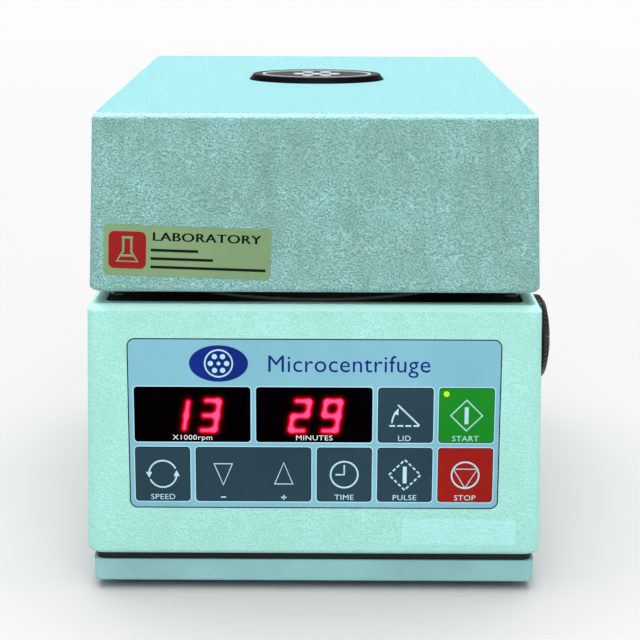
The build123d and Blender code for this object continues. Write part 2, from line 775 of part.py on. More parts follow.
badge_w = 63.4
badge_d = 46.0
badge_h = 2.5
badge_back = 137.0      # badge centre behind the casing's front
badge_y = front_y + badge_back
badge_slope = 2.0
inlay_drop = 0.5
inlay_in = 6.0          # recess in from the badge's outline
emblem_line = 1.2
emblem_dot_r = 2.6
with BuildPart() as lid_badge:
    with BuildSketch(Plane((0, badge_y, lid_top_z))):
        Ellipse(badge_w / 2, badge_d / 2)
    with BuildSketch(Plane((0, badge_y, lid_top_z + badge_h))):
        Ellipse(badge_w / 2 - badge_slope, badge_d / 2 - badge_slope)
    loft()
    with BuildSketch(Plane((0, badge_y, lid_top_z + badge_h - inlay_drop))):
        Ellipse(badge_w / 2 - inlay_in, badge_d / 2 - inlay_in)
    extrude(amount=inlay_drop, mode=Mode.SUBTRACT)
lid_badge.part.label = "lid_badge"
export_step(lid_badge.part, "parts/lid_badge.step")

with BuildPart() as badge_inlay:
    with BuildSketch(Plane((0, badge_y, lid_top_z + badge_h - inlay_drop))):
        Ellipse(badge_w / 2 - inlay_in - 0.1, badge_d / 2 - inlay_in - 0.1)
        Ellipse(
            badge_w / 2 - inlay_in - 0.1 - emblem_line,
            badge_d / 2 - inlay_in - 0.1 - emblem_line,
            mode=Mode.SUBTRACT,
        )
        Circle(emblem_dot_r)
        with PolarLocations(3.2 * emblem_dot_r, 6):
            Circle(emblem_dot_r)
    extrude(amount=inlay_drop)
badge_inlay.part.label = "badge_inlay"
export_step(badge_inlay.part, "parts/badge_inlay.step")

label_w = 66.5
label_r = 1.6
label_h = 20.2
label_x = -50.8
label_up = 16.5
label_turn = -1.8
label_t = 0.2
lid_face = Plane(
    (0, lid_y0, lid_z),
    x_dir=(1, 0, 0),
    z_dir=(0, -cos(radians(lid_draft)), sin(radians(lid_draft))),
)
with BuildPart() as lid_label:
    with BuildSketch(lid_face):
        with Locations((label_x, label_up)):
            RectangleRounded(label_w, label_h, label_r, rotation=label_turn)
    extrude(amount=label_t)
lid_label.part.label = "lid_label"
export_step(lid_label.part, "parts/lid_label.step")

# ------------------------------------------------------------------ hinge
ear_x = knuckle_w / 2 + ear_gap + ear_w / 2
ear_places = [s * hinge_x + d * ear_x for s in (-1, 1) for d in (-1, 1)]
foot_w = knuckle_w + 2 * ear_gap + 2 * ear_w
hinge_plane = Plane((0, hinge_y, hinge_z), x_dir=(0, 1, 0), z_dir=(1, 0, 0))
rod_half = hinge_x + foot_w / 2 + 1.0
ear_web_top = hinge_z - rim_z - 0.9

with BuildPart() as hinge_brackets:
    with BuildSketch(Plane((0, hinge_screw_y, rim_z))):
        with Locations((-hinge_x, 0), (hinge_x, 0)):
            Rectangle(foot_w, foot_plate_l)
    extrude(amount=foot_plate_t)
    with BuildSketch(Plane((0, hinge_screw_y - 2.0, deck_z))):
        with Locations((-hinge_x, 0), (hinge_x, 0)):
            Rectangle(foot_w, foot_plate_l - 7.0)
    extrude(amount=deck_drop)
    for x in ear_places:
        with BuildSketch(hinge_plane.offset(x - ear_w / 2)):
            Circle(hinge_r)
            with Locations((-4.0, rim_z - hinge_z + ear_web_top / 2)):
                Rectangle(8.0, ear_web_top)
        extrude(amount=ear_w)
    with BuildSketch(hinge_plane.offset(-rod_half)):
        Circle(pin_r)
    extrude(amount=2 * rod_half, mode=Mode.SUBTRACT)
    with BuildSketch(Plane((0, 0, deck_z))):
        with Locations(*hinge_places):
            Circle(screw_r + 0.2)
    extrude(amount=deck_drop + foot_plate_t, mode=Mode.SUBTRACT)
hinge_brackets.part.label = "hinge_brackets"
export_step(hinge_brackets.part, "parts/hinge_brackets.step")

with BuildPart() as hinge_rod:
    with BuildSketch(hinge_plane.offset(-rod_half)):
        Circle(pin_r)
    extrude(amount=2 * rod_half)
    chamfer(hinge_rod.edges().filter_by(GeomType.CIRCLE), 0.4)
hinge_rod.part.label = "hinge_rod"
export_step(hinge_rod.part, "parts/hinge_rod.step")

leaf_l = 22.0
with BuildPart() as hinge_leaves:
    for x in (-hinge_x, hinge_x):
        with BuildSketch(hinge_plane.offset(x - knuckle_w / 2)):
            Circle(hinge_r)
            with Locations((-leaf_l / 2, hinge_down - leaf_t / 2)):
                Rectangle(leaf_l, leaf_t)
            Circle(pin_r + pin_gap, mode=Mode.SUBTRACT)
        extrude(amount=knuckle_w)
hinge_leaves.part.label = "hinge_leaves"
export_step(hinge_leaves.part, "parts/hinge_leaves.step")

with BuildPart() as deck_screws:
    with BuildSketch(Plane.XY.offset(deck_z)):
        with Locations(*deck_screw_places):
            Circle(screw_head_r - 0.6)
    extrude(amount=1.4)
    with BuildSketch(Plane.XY.offset(rim_z + foot_plate_t)):
        with Locations(*hinge_places):
            Circle(screw_head_r - 0.6)
    extrude(amount=1.4)
    with BuildSketch(Plane.XY.offset(flange_z)):
        with Locations(*deck_screw_places):
            Circle(screw_r)
    extrude(amount=deck_t + ledge_t)
    with BuildSketch(Plane.XY.offset(flange_z)):
        with Locations(*hinge_places):
            Circle(screw_r)
    extrude(amount=rim_z + foot_plate_t - flange_z)
deck_screws.part.label = "deck_screws"
export_step(deck_screws.part, "parts/deck_screws.step")

# ------------------------------------------------------------------ latch
leg_t = 2.0
leg_gap = 1.0           # hook to striker leg, each side
leg_foot = 3.0          # leg below the pin
striker_pin_r = 1.6
striker_z = knob_z + pin_up
hook_x0 = striker_x - hook_t / 2
leg_x = hook_t / 2 + leg_gap + leg_t / 2
striker_plate_t = 1.8

with BuildPart() as lid_striker:
    with BuildSketch(Plane((striker_x, striker_y, lid_z - striker_plate_t))):
        Rectangle(2 * leg_x + leg_t + 1.0, slot_l + 2.0)
    extrude(amount=striker_plate_t)
    with BuildSketch(Plane((striker_x, striker_y, striker_z - leg_foot))):
        with Locations((-leg_x, 0), (leg_x, 0)):
            Rectangle(leg_t, striker_w)
    extrude(amount=lid_z - striker_plate_t - striker_z + leg_foot)
    with BuildSketch(Plane((striker_x - leg_x, striker_y, striker_z), z_dir=(1, 0, 0))):
        Circle(striker_pin_r)
    extrude(amount=2 * leg_x)
lid_striker.part.label = "lid_striker"
export_step(lid_striker.part, "parts/lid_striker.step")

# the hook is drawn latched, in the plane across the shaft (first axis to the rear,
# second axis up), and turned back to its free place
hook_gap = 0.4
arm_w = 5.0
nose_z = pin_up + striker_pin_r + hook_gap
nose_t = 3.0
nose_l = pin_back + 2.5
arm_y0 = -(pin_back - striker_pin_r - 0.8)
hook_plane = Plane((hook_x0, knob_y, knob_z), x_dir=(0, 1, 0), z_dir=(1, 0, 0))
hook_hub_r = 6.0
with BuildPart() as latch_hook:
    with BuildSketch(turned(hook_plane, -latch_turn)):
        Circle(hook_hub_r)
        with Locations((arm_y0 + arm_w / 2, (nose_z + nose_t) / 2)):
            Rectangle(arm_w, nose_z + nose_t)
        with Locations(((arm_y0 + arm_w - nose_l) / 2, nose_z + nose_t / 2)):
            Rectangle(arm_w + arm_y0 + nose_l, nose_t)
        Circle(latch_shaft_r, mode=Mode.SUBTRACT)
    extrude(amount=hook_t)
latch_hook.part.label = "latch_hook"
export_step(latch_hook.part, "parts/latch_hook.step")

knob_socket = 5.5
with BuildPart() as knob_shaft:
    with BuildSketch(hook_plane.offset(-1.5)):
        Circle(latch_shaft_r)
    extrude(amount=knob_x + knob_socket - hook_x0 + 1.5)
knob_shaft.part.label = "knob_shaft"
export_step(knob_shaft.part, "parts/knob_shaft.step")

quarter = 0.5523        # makes a cubic curve follow a quarter ellipse
with BuildPart() as release_knob:
    with BuildSketch(Plane((knob_x, knob_y, knob_z), x_dir=(1, 0, 0), z_dir=(0, -1, 0))):
        with BuildLine():
            Polyline((knob_t, 0), (0, 0), (0, knob_r), (knob_t - knob_dome, knob_r))
            Bezier(
                (knob_t - knob_dome, knob_r),
                (knob_t - (1 - quarter) * knob_dome, knob_r),
                (knob_t, quarter * knob_r),
                (knob_t, 0),
            )
        make_face()
    revolve(axis=Axis((knob_x, knob_y, knob_z), (1, 0, 0)))
    with BuildSketch(knob_plane):
        with PolarLocations(knob_r, knob_ribs):
            Rectangle(1.6, 1.9)
    extrude(amount=knob_t, mode=Mode.SUBTRACT)
    with BuildSketch(knob_plane):
        Circle(latch_shaft_r)
    extrude(amount=knob_socket, mode=Mode.SUBTRACT)
release_knob.part.label = "release_knob"
export_step(release_knob.part, "parts/release_knob.step")

bush_flange_t = 2.0
bush_flange_r = 7.4
bush_x = side_x - wall - bush_flange_r * draft_run - 0.1
with BuildPart() as knob_bush:
    with BuildSketch(Plane((bush_x - bush_flange_t, knob_y, knob_z), z_dir=(1, 0, 0))):
        Circle(bush_flange_r)
        Circle(latch_shaft_r + pin_gap, mode=Mode.SUBTRACT)
    extrude(amount=bush_flange_t)
    with BuildSketch(Plane((bush_x, knob_y, knob_z), z_dir=(1, 0, 0))):
        Circle(knob_bush_r - 0.02)
        Circle(latch_shaft_r + pin_gap, mode=Mode.SUBTRACT)
    extrude(amount=side_x - 0.2 - bush_x)
knob_bush.part.label = "knob_bush"
export_step(knob_bush.part, "parts/knob_bush.step")

# ------------------------------------------------------------------ latch lock
lock_y = knob_y + 1.9   # plunger's axis, clear of the hook both free and latched
lock_z = knob_z + 13.5
plunger_r = 1.5
plunger_stroke = 5.0
plunger_gap = 0.1
plunger_l = 12.0
plunger_tip = hook_x0 + hook_t + 1.5
coil_x0 = plunger_tip + 2.0
coil_r = 5.2
coil_gap = 0.3          # coil's end to the casing's inner side
coil_l = body_w / 2 - (lock_z + coil_r - shell_z) * draft_run - wall - coil_gap - coil_x0
with BuildPart() as lock_solenoid:
    with BuildSketch(Plane((coil_x0, lock_y, lock_z), x_dir=(0, 1, 0), z_dir=(1, 0, 0))):
        Circle(coil_r)
    extrude(amount=coil_l)
    with BuildSketch(Plane((coil_x0, lock_y, lock_z), x_dir=(0, 1, 0), z_dir=(1, 0, 0))):
        Rectangle(2 * coil_r, 2 * coil_r)
    extrude(amount=1.5)
    with BuildSketch(Plane((coil_x0, lock_y, lock_z), x_dir=(0, 1, 0), z_dir=(1, 0, 0))):
        Circle(plunger_r + plunger_gap)
    extrude(amount=coil_l, mode=Mode.SUBTRACT)
lock_solenoid.part.label = "lock_solenoid"
export_step(lock_solenoid.part, "parts/lock_solenoid.step")

with BuildPart() as lock_plunger:
    with BuildSketch(Plane((plunger_tip, lock_y, lock_z), x_dir=(0, 1, 0), z_dir=(1, 0, 0))):
        Circle(plunger_r)
    extrude(amount=plunger_l)
    fillet(lock_plunger.edges().filter_by(GeomType.CIRCLE).group_by(Axis.X)[0], 0.4)
lock_plunger.part.label = "lock_plunger"
export_step(lock_plunger.part, "parts/lock_plunger.step")

# ------------------------------------------------------------------ rear fittings
flange_t = 2.2
inlet_deep = 24.0
socket_w = 24.4
socket_h = 16.6
socket_v = 9.5
socket_deep = 16.0
blade_t = 2.0
blade_w = 4.0
blade_l = 12.0
drawer_w = 21.0
drawer_h = 8.0
drawer_v = -12.5
drawer_l = 17.0
drawer_gap = 0.3
drawer_pull = 2.0
with BuildPart() as mains_inlet:
    with BuildSketch(rear_face):
        with Locations((inlet_x, 0)):
            RectangleRounded(inlet_w + 6.0, inlet_h + 6.0, 3.0)
    extrude(amount=flange_t)
    with BuildSketch(rear_face):
        with Locations((inlet_x, 0)):
            Rectangle(inlet_w, inlet_h)
    extrude(amount=-inlet_deep)
    with BuildSketch(rear_face.offset(flange_t - socket_deep)):
        with Locations((inlet_x, socket_v)):
            RectangleRounded(socket_w, socket_h, 2.0)
    extrude(amount=socket_deep, mode=Mode.SUBTRACT)
    with BuildSketch(rear_face.offset(flange_t - socket_deep)):
        with Locations((inlet_x - 7.0, socket_v - 2.0), (inlet_x + 7.0, socket_v - 2.0)):
            Rectangle(blade_t, blade_w)
        with Locations((inlet_x, socket_v + 2.0)):
            Rectangle(blade_t, blade_w)
    extrude(amount=blade_l)
    with BuildSketch(rear_face.offset(flange_t - drawer_l - drawer_gap)):
        with Locations((inlet_x, drawer_v)):
            Rectangle(drawer_w + 2 * drawer_gap, drawer_h + 2 * drawer_gap)
    extrude(amount=drawer_l + drawer_gap, mode=Mode.SUBTRACT)
mains_inlet.part.label = "mains_inlet"
export_step(mains_inlet.part, "parts/mains_inlet.step")

with BuildPart() as fuse_drawer:
    with BuildSketch(rear_face.offset(flange_t - drawer_l)):
        with Locations((inlet_x, drawer_v)):
            Rectangle(drawer_w, drawer_h)
    extrude(amount=drawer_l)
    with BuildSketch(rear_face.offset(flange_t)):
        with Locations((inlet_x, drawer_v + drawer_h / 2 - 1.2)):
            Rectangle(10.0, 2.0)
    extrude(amount=drawer_pull)
fuse_drawer.part.label = "fuse_drawer"
export_step(fuse_drawer.part, "parts/fuse_drawer.step")

rocker_w = 16.0
rocker_h = 22.0
rocker_swing = 9.0      # degrees each side of its middle
rocker_gap = 0.5
rocker_pivot = -3.0     # pivot below the flange's outer face
switch_deep = 20.0
with BuildPart() as switch_bezel:
    with BuildSketch(rear_face):
        with Locations((switch_x, 0)):
            RectangleRounded(switch_w + 5.0, switch_h + 5.0, 2.0)
    extrude(amount=flange_t)
    with BuildSketch(rear_face):
        with Locations((switch_x, 0)):
            Rectangle(switch_w, switch_h)
    extrude(amount=-switch_deep)
    with BuildSketch(rear_face.offset(flange_t - 12.0)):
        with Locations((switch_x, 0)):
            Rectangle(rocker_w + 2 * rocker_gap, rocker_h + 3 * rocker_gap)
    extrude(amount=12.0, mode=Mode.SUBTRACT)
switch_bezel.part.label = "switch_bezel"
export_step(switch_bezel.part, "parts/switch_bezel.step")

# the rocker's outline lies across its axis: first axis outwards, second axis up the face
rocker_origin = rear_face.offset(flange_t + rocker_pivot).from_local_coords((switch_x, 0, 0))
rocker_plane = Plane(rocker_origin, x_dir=rear_face.z_dir, z_dir=-rear_face.x_dir)
rocker_up = 3.4         # face above the pivot
with BuildPart() as power_rocker:
    with BuildSketch(turned(rocker_plane, rocker_swing).offset(-rocker_w / 2)):
        with BuildLine():
            Polyline(
                (-5.0, -5.0),
                (rocker_up + 1.6, -rocker_h / 2 + 0.4),
                (rocker_up - 0.6, 0),
                (rocker_up + 1.6, rocker_h / 2 - 0.4),
                (-5.0, 5.0),
                close=True,
            )
        make_face()
    extrude(amount=rocker_w)
power_rocker.part.label = "power_rocker"
export_step(power_rocker.part, "parts/power_rocker.step")

# ------------------------------------------------------------------ electrics inside
core_w = 62.0
core_h = 52.0
core_d = 22.0
coil_w = 40.0
coil_h = 34.0
coil_d = 44.0
transformer_x = 38.0
transformer_y = body_d / 2 - 76.0
with BuildPart() as transformer:
    with BuildSketch(Plane((transformer_x, transformer_y, tray_floor))):
        Rectangle(core_w + 16.0, core_d)
    extrude(amount=1.5)
    with BuildSketch(Plane((transformer_x, transformer_y, tray_floor + 1.5))):
        Rectangle(core_w, core_d)
    extrude(amount=core_h)
    with BuildSketch(Plane((transformer_x, transformer_y, tray_floor + 1.5 + (core_h - coil_h) / 2))):
        RectangleRounded(coil_w, coil_d, 5.0)
    extrude(amount=coil_h)
transformer.part.label = "transformer"
export_step(transformer.part, "parts/transformer.step")

control_x = -40.0
control_y = body_d / 2 - 78.0
control_w = 76.0
control_d = 90.0
board_z = tray_floor + 9.0
with BuildPart() as control_board:
    with BuildSketch(Plane((control_x, control_y, board_z))):
        Rectangle(control_w, control_d)
    extrude(amount=board_t)
    with BuildSketch(Plane((control_x, control_y, tray_floor))):
        with Locations(*corners(control_w / 2 - 4, control_d / 2 - 4)):
            Circle(2.6)
    extrude(amount=board_z - tray_floor)
    with BuildSketch(Plane((control_x, control_y, board_z + board_t))):
        with Locations((-18, 26), (4, 26)):
            Circle(9.0)
    extrude(amount=30.0)
    with BuildSketch(Plane((control_x, control_y, board_z + board_t))):
        with Locations((24, 24)):
            Rectangle(20, 16)
    extrude(amount=15.0)
    with BuildSketch(Plane((control_x, control_y, board_z + board_t))):
        with Locations((0, -8)):
            Rectangle(58, 4)
        with Locations((0, -2)):
            with GridLocations(6.0, 0, 10, 1):
                Rectangle(1.4, 9)
    extrude(amount=32.0)
    with BuildSketch(Plane((control_x, control_y, board_z + board_t))):
        with Locations((-16, -30), (14, -28)):
            Rectangle(20, 8)
    extrude(amount=8.0)
control_board.part.label = "control_board"
export_step(control_board.part, "parts/control_board.step")
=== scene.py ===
"""Bench microcentrifuge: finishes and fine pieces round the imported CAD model.

Lengths are metres in the CAD frame: origin under the middle of the plinth, +Z up,
front towards -Y.
"""
from math import asin, atan2, cos, degrees, exp, pi, radians, sin, tan

import bmesh
import bpy
from mathutils import Euler, Matrix, Vector


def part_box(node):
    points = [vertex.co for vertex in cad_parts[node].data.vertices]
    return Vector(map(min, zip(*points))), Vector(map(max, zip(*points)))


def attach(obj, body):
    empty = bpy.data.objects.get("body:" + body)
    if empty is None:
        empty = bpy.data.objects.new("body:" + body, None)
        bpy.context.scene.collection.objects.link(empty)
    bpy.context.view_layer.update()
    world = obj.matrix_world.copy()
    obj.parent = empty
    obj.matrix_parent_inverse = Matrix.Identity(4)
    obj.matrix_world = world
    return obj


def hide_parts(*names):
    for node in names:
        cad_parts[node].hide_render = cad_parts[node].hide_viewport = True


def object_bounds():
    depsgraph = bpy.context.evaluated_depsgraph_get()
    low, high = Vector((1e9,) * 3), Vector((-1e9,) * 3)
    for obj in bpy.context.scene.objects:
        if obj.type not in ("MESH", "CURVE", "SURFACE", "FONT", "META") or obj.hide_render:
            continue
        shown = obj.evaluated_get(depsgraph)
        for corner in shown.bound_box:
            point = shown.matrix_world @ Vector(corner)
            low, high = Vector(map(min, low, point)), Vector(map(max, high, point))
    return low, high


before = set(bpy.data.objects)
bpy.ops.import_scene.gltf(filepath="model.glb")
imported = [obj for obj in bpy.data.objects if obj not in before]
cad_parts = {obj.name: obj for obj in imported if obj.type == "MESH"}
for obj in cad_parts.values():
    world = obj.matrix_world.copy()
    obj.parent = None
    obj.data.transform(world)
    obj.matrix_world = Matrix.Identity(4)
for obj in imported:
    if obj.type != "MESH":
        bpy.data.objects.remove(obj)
cad_low, cad_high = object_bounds()
mm = 0.001

# ------------------------------------------------------------------ places taken from the CAD
base_draft = radians(1.56)
lid_draft = radians(2.46)
panel_low, panel_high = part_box("front_fascia")
panel_h = 71.3 * mm
panel_centre = Vector((
    (panel_low.x + panel_high.x) / 2,
    panel_low.y + panel_h / 2 * sin(base_draft),
    panel_high.z - panel_h / 2 * cos(base_draft),
))
lid_low, lid_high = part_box("lid_shell")
rotor_low, rotor_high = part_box("rotor")
axis_y = (rotor_low.y + rotor_high.y) / 2
knob_low, knob_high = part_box("release_knob")
deck_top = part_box("deck_plate")[1].z
shell_low, shell_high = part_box("base_shell")
floor_z = cad_low.z
right = Vector((1, 0, 0))


def facing(origin, along, up):
    """A placing matrix: X runs along, Y runs up and Z stands out of the face."""
    out = along.cross(up)
    place = Matrix((along, up, out)).transposed().to_4x4()
    place.translation = origin
    return place


def rounding_loss(draft):
    """How far a rounded lower edge keeps a drafted wall short of where its face line starts."""
    return 2.0 * mm * (tan(draft) + 1 / cos(draft) - 1)


panel_face = facing(panel_centre, right, Vector((0, sin(base_draft), cos(base_draft))))
lid_face = facing(
    Vector((0, lid_low.y - rounding_loss(lid_draft), lid_low.z)), right,
    Vector((0, sin(lid_draft), cos(lid_draft))),
)


# ------------------------------------------------------------------ camera and light
camera = bpy.data.objects.new("camera", bpy.data.cameras.new("camera"))
bpy.context.scene.collection.objects.link(camera)
camera.data.lens = 91.2
camera.data.sensor_width = 36.0
camera.data.clip_start = 0.05
camera.data.clip_end = 50.0
camera.location = (3.0 * mm, -766.9 * mm, 273.6 * mm)
camera.rotation_euler = Euler((radians(90 - 14.21), radians(-0.23), radians(0.13)))
bpy.context.scene.camera = camera


def sun(name, direction, strength, spread):
    """A soft distant light that shines along a direction."""
    light = bpy.data.objects.new(name, bpy.data.lights.new(name, "SUN"))
    light.data.energy = strength
    light.data.angle = radians(spread)
    light.rotation_euler = Vector(direction).to_track_quat("-Z", "Y").to_euler()
    bpy.context.scene.collection.objects.link(light)


sun("overhead", (0.02, -0.18, -1.0), 3.5, 60)
sun("front_key", (-0.04, 0.75, -0.95), 1.5, 45)
world = bpy.data.worlds.new("studio")
bpy.context.scene.world = world
world.use_nodes = True
world.node_tree.nodes["Background"].inputs["Color"].default_value = (1.0, 1.0, 1.0, 1.0)
world.node_tree.nodes["Background"].inputs["Strength"].default_value = 0.62
bpy.context.scene.view_settings.view_transform = "Standard"


# ------------------------------------------------------------------ materials
def linear(hex_code):
    """An sRGB hex colour as linear RGBA."""
    channels = [int(hex_code[i:i + 2], 16) / 255 for i in (1, 3, 5)]
    return [c / 12.92 if c <= 0.04045 else ((c + 0.055) / 1.055) ** 2.4 for c in channels] + [1.0]


def add(tree, kind, inputs=None, stops=None, **settings):
    """Adds one shader node. An input takes a value or another node's output; stops fill a ramp."""
    made = tree.nodes.new("ShaderNode" + kind)
    for name, value in settings.items():
        setattr(made, name, value)
    for name, value in (inputs or {}).items():
        if isinstance(value, bpy.types.NodeSocket):
            tree.links.new(value, made.inputs[name])
        else:
            made.inputs[name].default_value = value
    if stops:
        elements = made.color_ramp.elements
        while len(elements) < len(stops):
            elements.new(0.5)
        for element, (place, colour) in zip(elements, stops):
            element.position = place
            element.color = colour
    return made


def begin(name, **values):
    """A new material and its tree, with values set on the shader's own sockets."""
    made = bpy.data.materials.new(name)
    made.use_nodes = True
    shader = made.node_tree.nodes["Principled BSDF"]
    for socket, value in values.items():
        shader.inputs[socket.replace("_", " ")].default_value = value
    return made, made.node_tree, shader


def grey(value):
    """A grey for a ramp stop."""
    return (value, value, value, 1.0)


def mottled(name, light, dark, size, grain, relief, **values):
    """A finish whose colour drifts between two tones over size, with a fine relief of its grain."""
    made, tree, shader = begin(name, **values)
    place = add(tree, "TexCoord").outputs["Object"]
    drift = add(tree, "TexNoise", {"Vector": place, "Scale": 1 / size, "Detail": 4.0})
    tone = add(
        tree, "ValToRGB", {"Fac": drift.outputs["Fac"]},
        stops=[(0.35, linear(dark)), (0.65, linear(light))],
    )
    tree.links.new(tone.outputs["Color"], shader.inputs["Base Color"])
    peel = add(tree, "TexNoise", {"Vector": place, "Scale": 1 / grain, "Detail": 2.0})
    bump = add(tree, "Bump", {"Height": peel.outputs["Fac"], "Distance": relief, "Strength": 1.0})
    tree.links.new(bump.outputs["Normal"], shader.inputs["Normal"])
    return made


def leather_paint(name, pit_dirt_and_shade, light, peak_highlight, top, soil, soil_share, relief, top_z, trace=None):
    """Two-pack texture paint sprayed on moulded polyurethane: a sandy grain under 1 mm across, dirt and
    painted shade in its pits, a painted highlight on its tops, soil in upright smears on the walls, and
    a painted highlight as a pale band just under the top edge."""
    made, tree, shader = begin(name, Roughness=0.58, IOR=1.48, Specular_IOR_Level=0.3)
    place = add(tree, "TexCoord").outputs["Object"]
    axes = add(tree, "SeparateXYZ", {0: place})
    grain = add(
        tree, "TexNoise",
        {"Vector": place, "Scale": 1 / (0.8 * mm), "Detail": 1.5, "Roughness": 0.5},
    )
    # grain colours: pits darker for dirt and painted shade, tops paler as a painted highlight
    grain_dirt_and_sheen = add(
        tree, "ValToRGB", {"Fac": grain.outputs["Fac"]},
        stops=[(0.30, linear(pit_dirt_and_shade)), (0.50, linear(light)), (0.68, linear(peak_highlight))],
    )
    wall = add(tree, "Math", {0: axes.outputs["Z"], 1: top_z - 2.4 * mm}, operation="LESS_THAN")
    painted = add(
        tree, "Mix", {0: wall.outputs[0], 6: linear(top), 7: grain_dirt_and_sheen.outputs["Color"]},
        data_type="RGBA",
    )
    upright = add(tree, "Mapping", {"Vector": place, "Scale": (1.0, 1.0, 0.45)})
    smear = add(
        tree, "TexNoise",
        {"Vector": upright.outputs["Vector"], "Scale": 1 / (22 * mm), "Detail": 9.0, "Roughness": 0.72},
    )
    smear_share = add(
        tree, "ValToRGB", {"Fac": smear.outputs["Fac"]},
        stops=[(0.42, grey(0.0)), (0.72, grey(soil_share))],
    )
    wall_share = add(
        tree, "Math", {0: smear_share.outputs["Color"], 1: wall.outputs[0]}, operation="MULTIPLY"
    )
    soiled = add(
        tree, "Mix", {0: wall_share.outputs[0], 6: painted.outputs[2], 7: linear(soil)},
        data_type="RGBA",
    )
    # painted highlight: a pale band (#B9EEE8) just under the top edge on the walls, for the light the
    # rounded edge catches
    edge = add(
        tree, "MapRange",
        {"Value": axes.outputs["Z"], "From Min": top_z - 2.4 * mm, "From Max": top_z - 1.4 * mm},
    )
    under = add(tree, "Math", {0: axes.outputs["Z"], 1: top_z - 0.4 * mm}, operation="LESS_THAN")
    edge_highlight_share = add(
        tree, "Math", {0: edge.outputs["Result"], 1: under.outputs[0]}, operation="MULTIPLY"
    )
    edge_highlight = add(
        tree, "Mix", {0: edge_highlight_share.outputs[0], 6: soiled.outputs[2], 7: linear("#B9EEE8")},
        data_type="RGBA",
    )
    colour = edge_highlight.outputs[2]
    if trace:
        # the paler patch that a peeled-off sticker leaves: a box test on the place
        centre, half = trace
        offset = add(tree, "VectorMath", {0: place, 1: centre}, operation="SUBTRACT")
        size = add(tree, "VectorMath", {0: offset.outputs["Vector"]}, operation="ABSOLUTE")
        ratio = add(tree, "VectorMath", {0: size.outputs["Vector"], 1: half}, operation="DIVIDE")
        parts = add(tree, "SeparateXYZ", {0: ratio.outputs["Vector"]})
        wide = add(tree, "Math", {0: parts.outputs["X"], 1: parts.outputs["Z"]}, operation="MAXIMUM")
        most = add(tree, "Math", {0: wide.outputs[0], 1: parts.outputs["Y"]}, operation="MAXIMUM")
        inside = add(tree, "Math", {0: most.outputs[0], 1: 1.0}, operation="LESS_THAN")
        share = add(tree, "Math", {0: inside.outputs[0], 1: 0.4}, operation="MULTIPLY")
        paler = add(
            tree, "Mix", {0: share.outputs[0], 6: colour, 7: linear("#B4F0F2")}, data_type="RGBA"
        )
        colour = paler.outputs[2]
    tree.links.new(colour, shader.inputs["Base Color"])
    bump = add(tree, "Bump", {"Height": grain.outputs["Fac"], "Distance": relief, "Strength": 1.0})
    tree.links.new(bump.outputs["Normal"], shader.inputs["Normal"])
    return made


sticker_trace = (
    Vector((60.2 * mm, shell_low.y, 23.2 * mm)),
    Vector((23.6 * mm, 6.0 * mm, 5.6 * mm)),
)
paint_lid = leather_paint(
    "leather_paint_lid_sprayed", "#76A8A5", "#8EC4C1", "#A9DCD8", "#8AC6CA", "#76A08E", 0.8,
    1.9 * mm, lid_high.z,
)
paint_base = leather_paint(
    "leather_paint_casing_sprayed", "#98D3CA", "#A2DED6", "#ABE6DE", "#AAE6DE", "#97CFBC", 0.6,
    0.45 * mm, shell_high.z, trace=sticker_trace,
)


def banded_paint(name, colour, shade, gap_shade, gap_shade_z):
    """Smooth stoving paint on folded steel, scuffed in broad patches, and above a height painted
    shade: near-black colour on the recessed band, for the shadow in the gap under the casing."""
    made, tree, shader = begin(name, Roughness=0.5, Specular_IOR_Level=0.3)
    place = add(tree, "TexCoord").outputs["Object"]
    scuff = add(tree, "TexNoise", {"Vector": place, "Scale": 1 / (38 * mm), "Detail": 5.0})
    tone = add(
        tree, "ValToRGB", {"Fac": scuff.outputs["Fac"]},
        stops=[(0.35, linear(shade)), (0.65, linear(colour))],
    )
    height = add(tree, "SeparateXYZ", {0: place}).outputs["Z"]
    above = add(tree, "Math", {0: height, 1: gap_shade_z}, operation="GREATER_THAN")
    both = add(
        tree, "Mix", {0: above.outputs[0], 6: tone.outputs["Color"], 7: linear(gap_shade)},
        data_type="RGBA",
    )
    tree.links.new(both.outputs[2], shader.inputs["Base Color"])
    peel = add(tree, "TexNoise", {"Vector": place, "Scale": 1 / (0.9 * mm), "Detail": 2.0})
    bump = add(tree, "Bump", {"Height": peel.outputs["Fac"], "Distance": 0.03 * mm, "Strength": 1.0})
    tree.links.new(bump.outputs["Normal"], shader.inputs["Normal"])
    return made


# the near-black above the recess height is painted shade for the gap under the casing
paint_plinth = banded_paint(
    "satin_paint_plinth_stoved", "#93C6C8", "#86B6B8", "#0B0F0E", shell_low.z - 3.5 * mm
)
# vacuum-formed ABS sheet, fine matt haircell
deck_abs = mottled(
    "abs_deck_haircell", "#1B1E20", "#141618", 30 * mm, 0.7 * mm, 0.06 * mm, Roughness=0.6,
    Specular_IOR_Level=0.35,
)
liner_abs = mottled(
    "abs_liner_vacuum_formed", "#15191B", "#0E1112", 40 * mm, 0.8 * mm, 0.05 * mm, Roughness=0.58,
    Specular_IOR_Level=0.3,
)


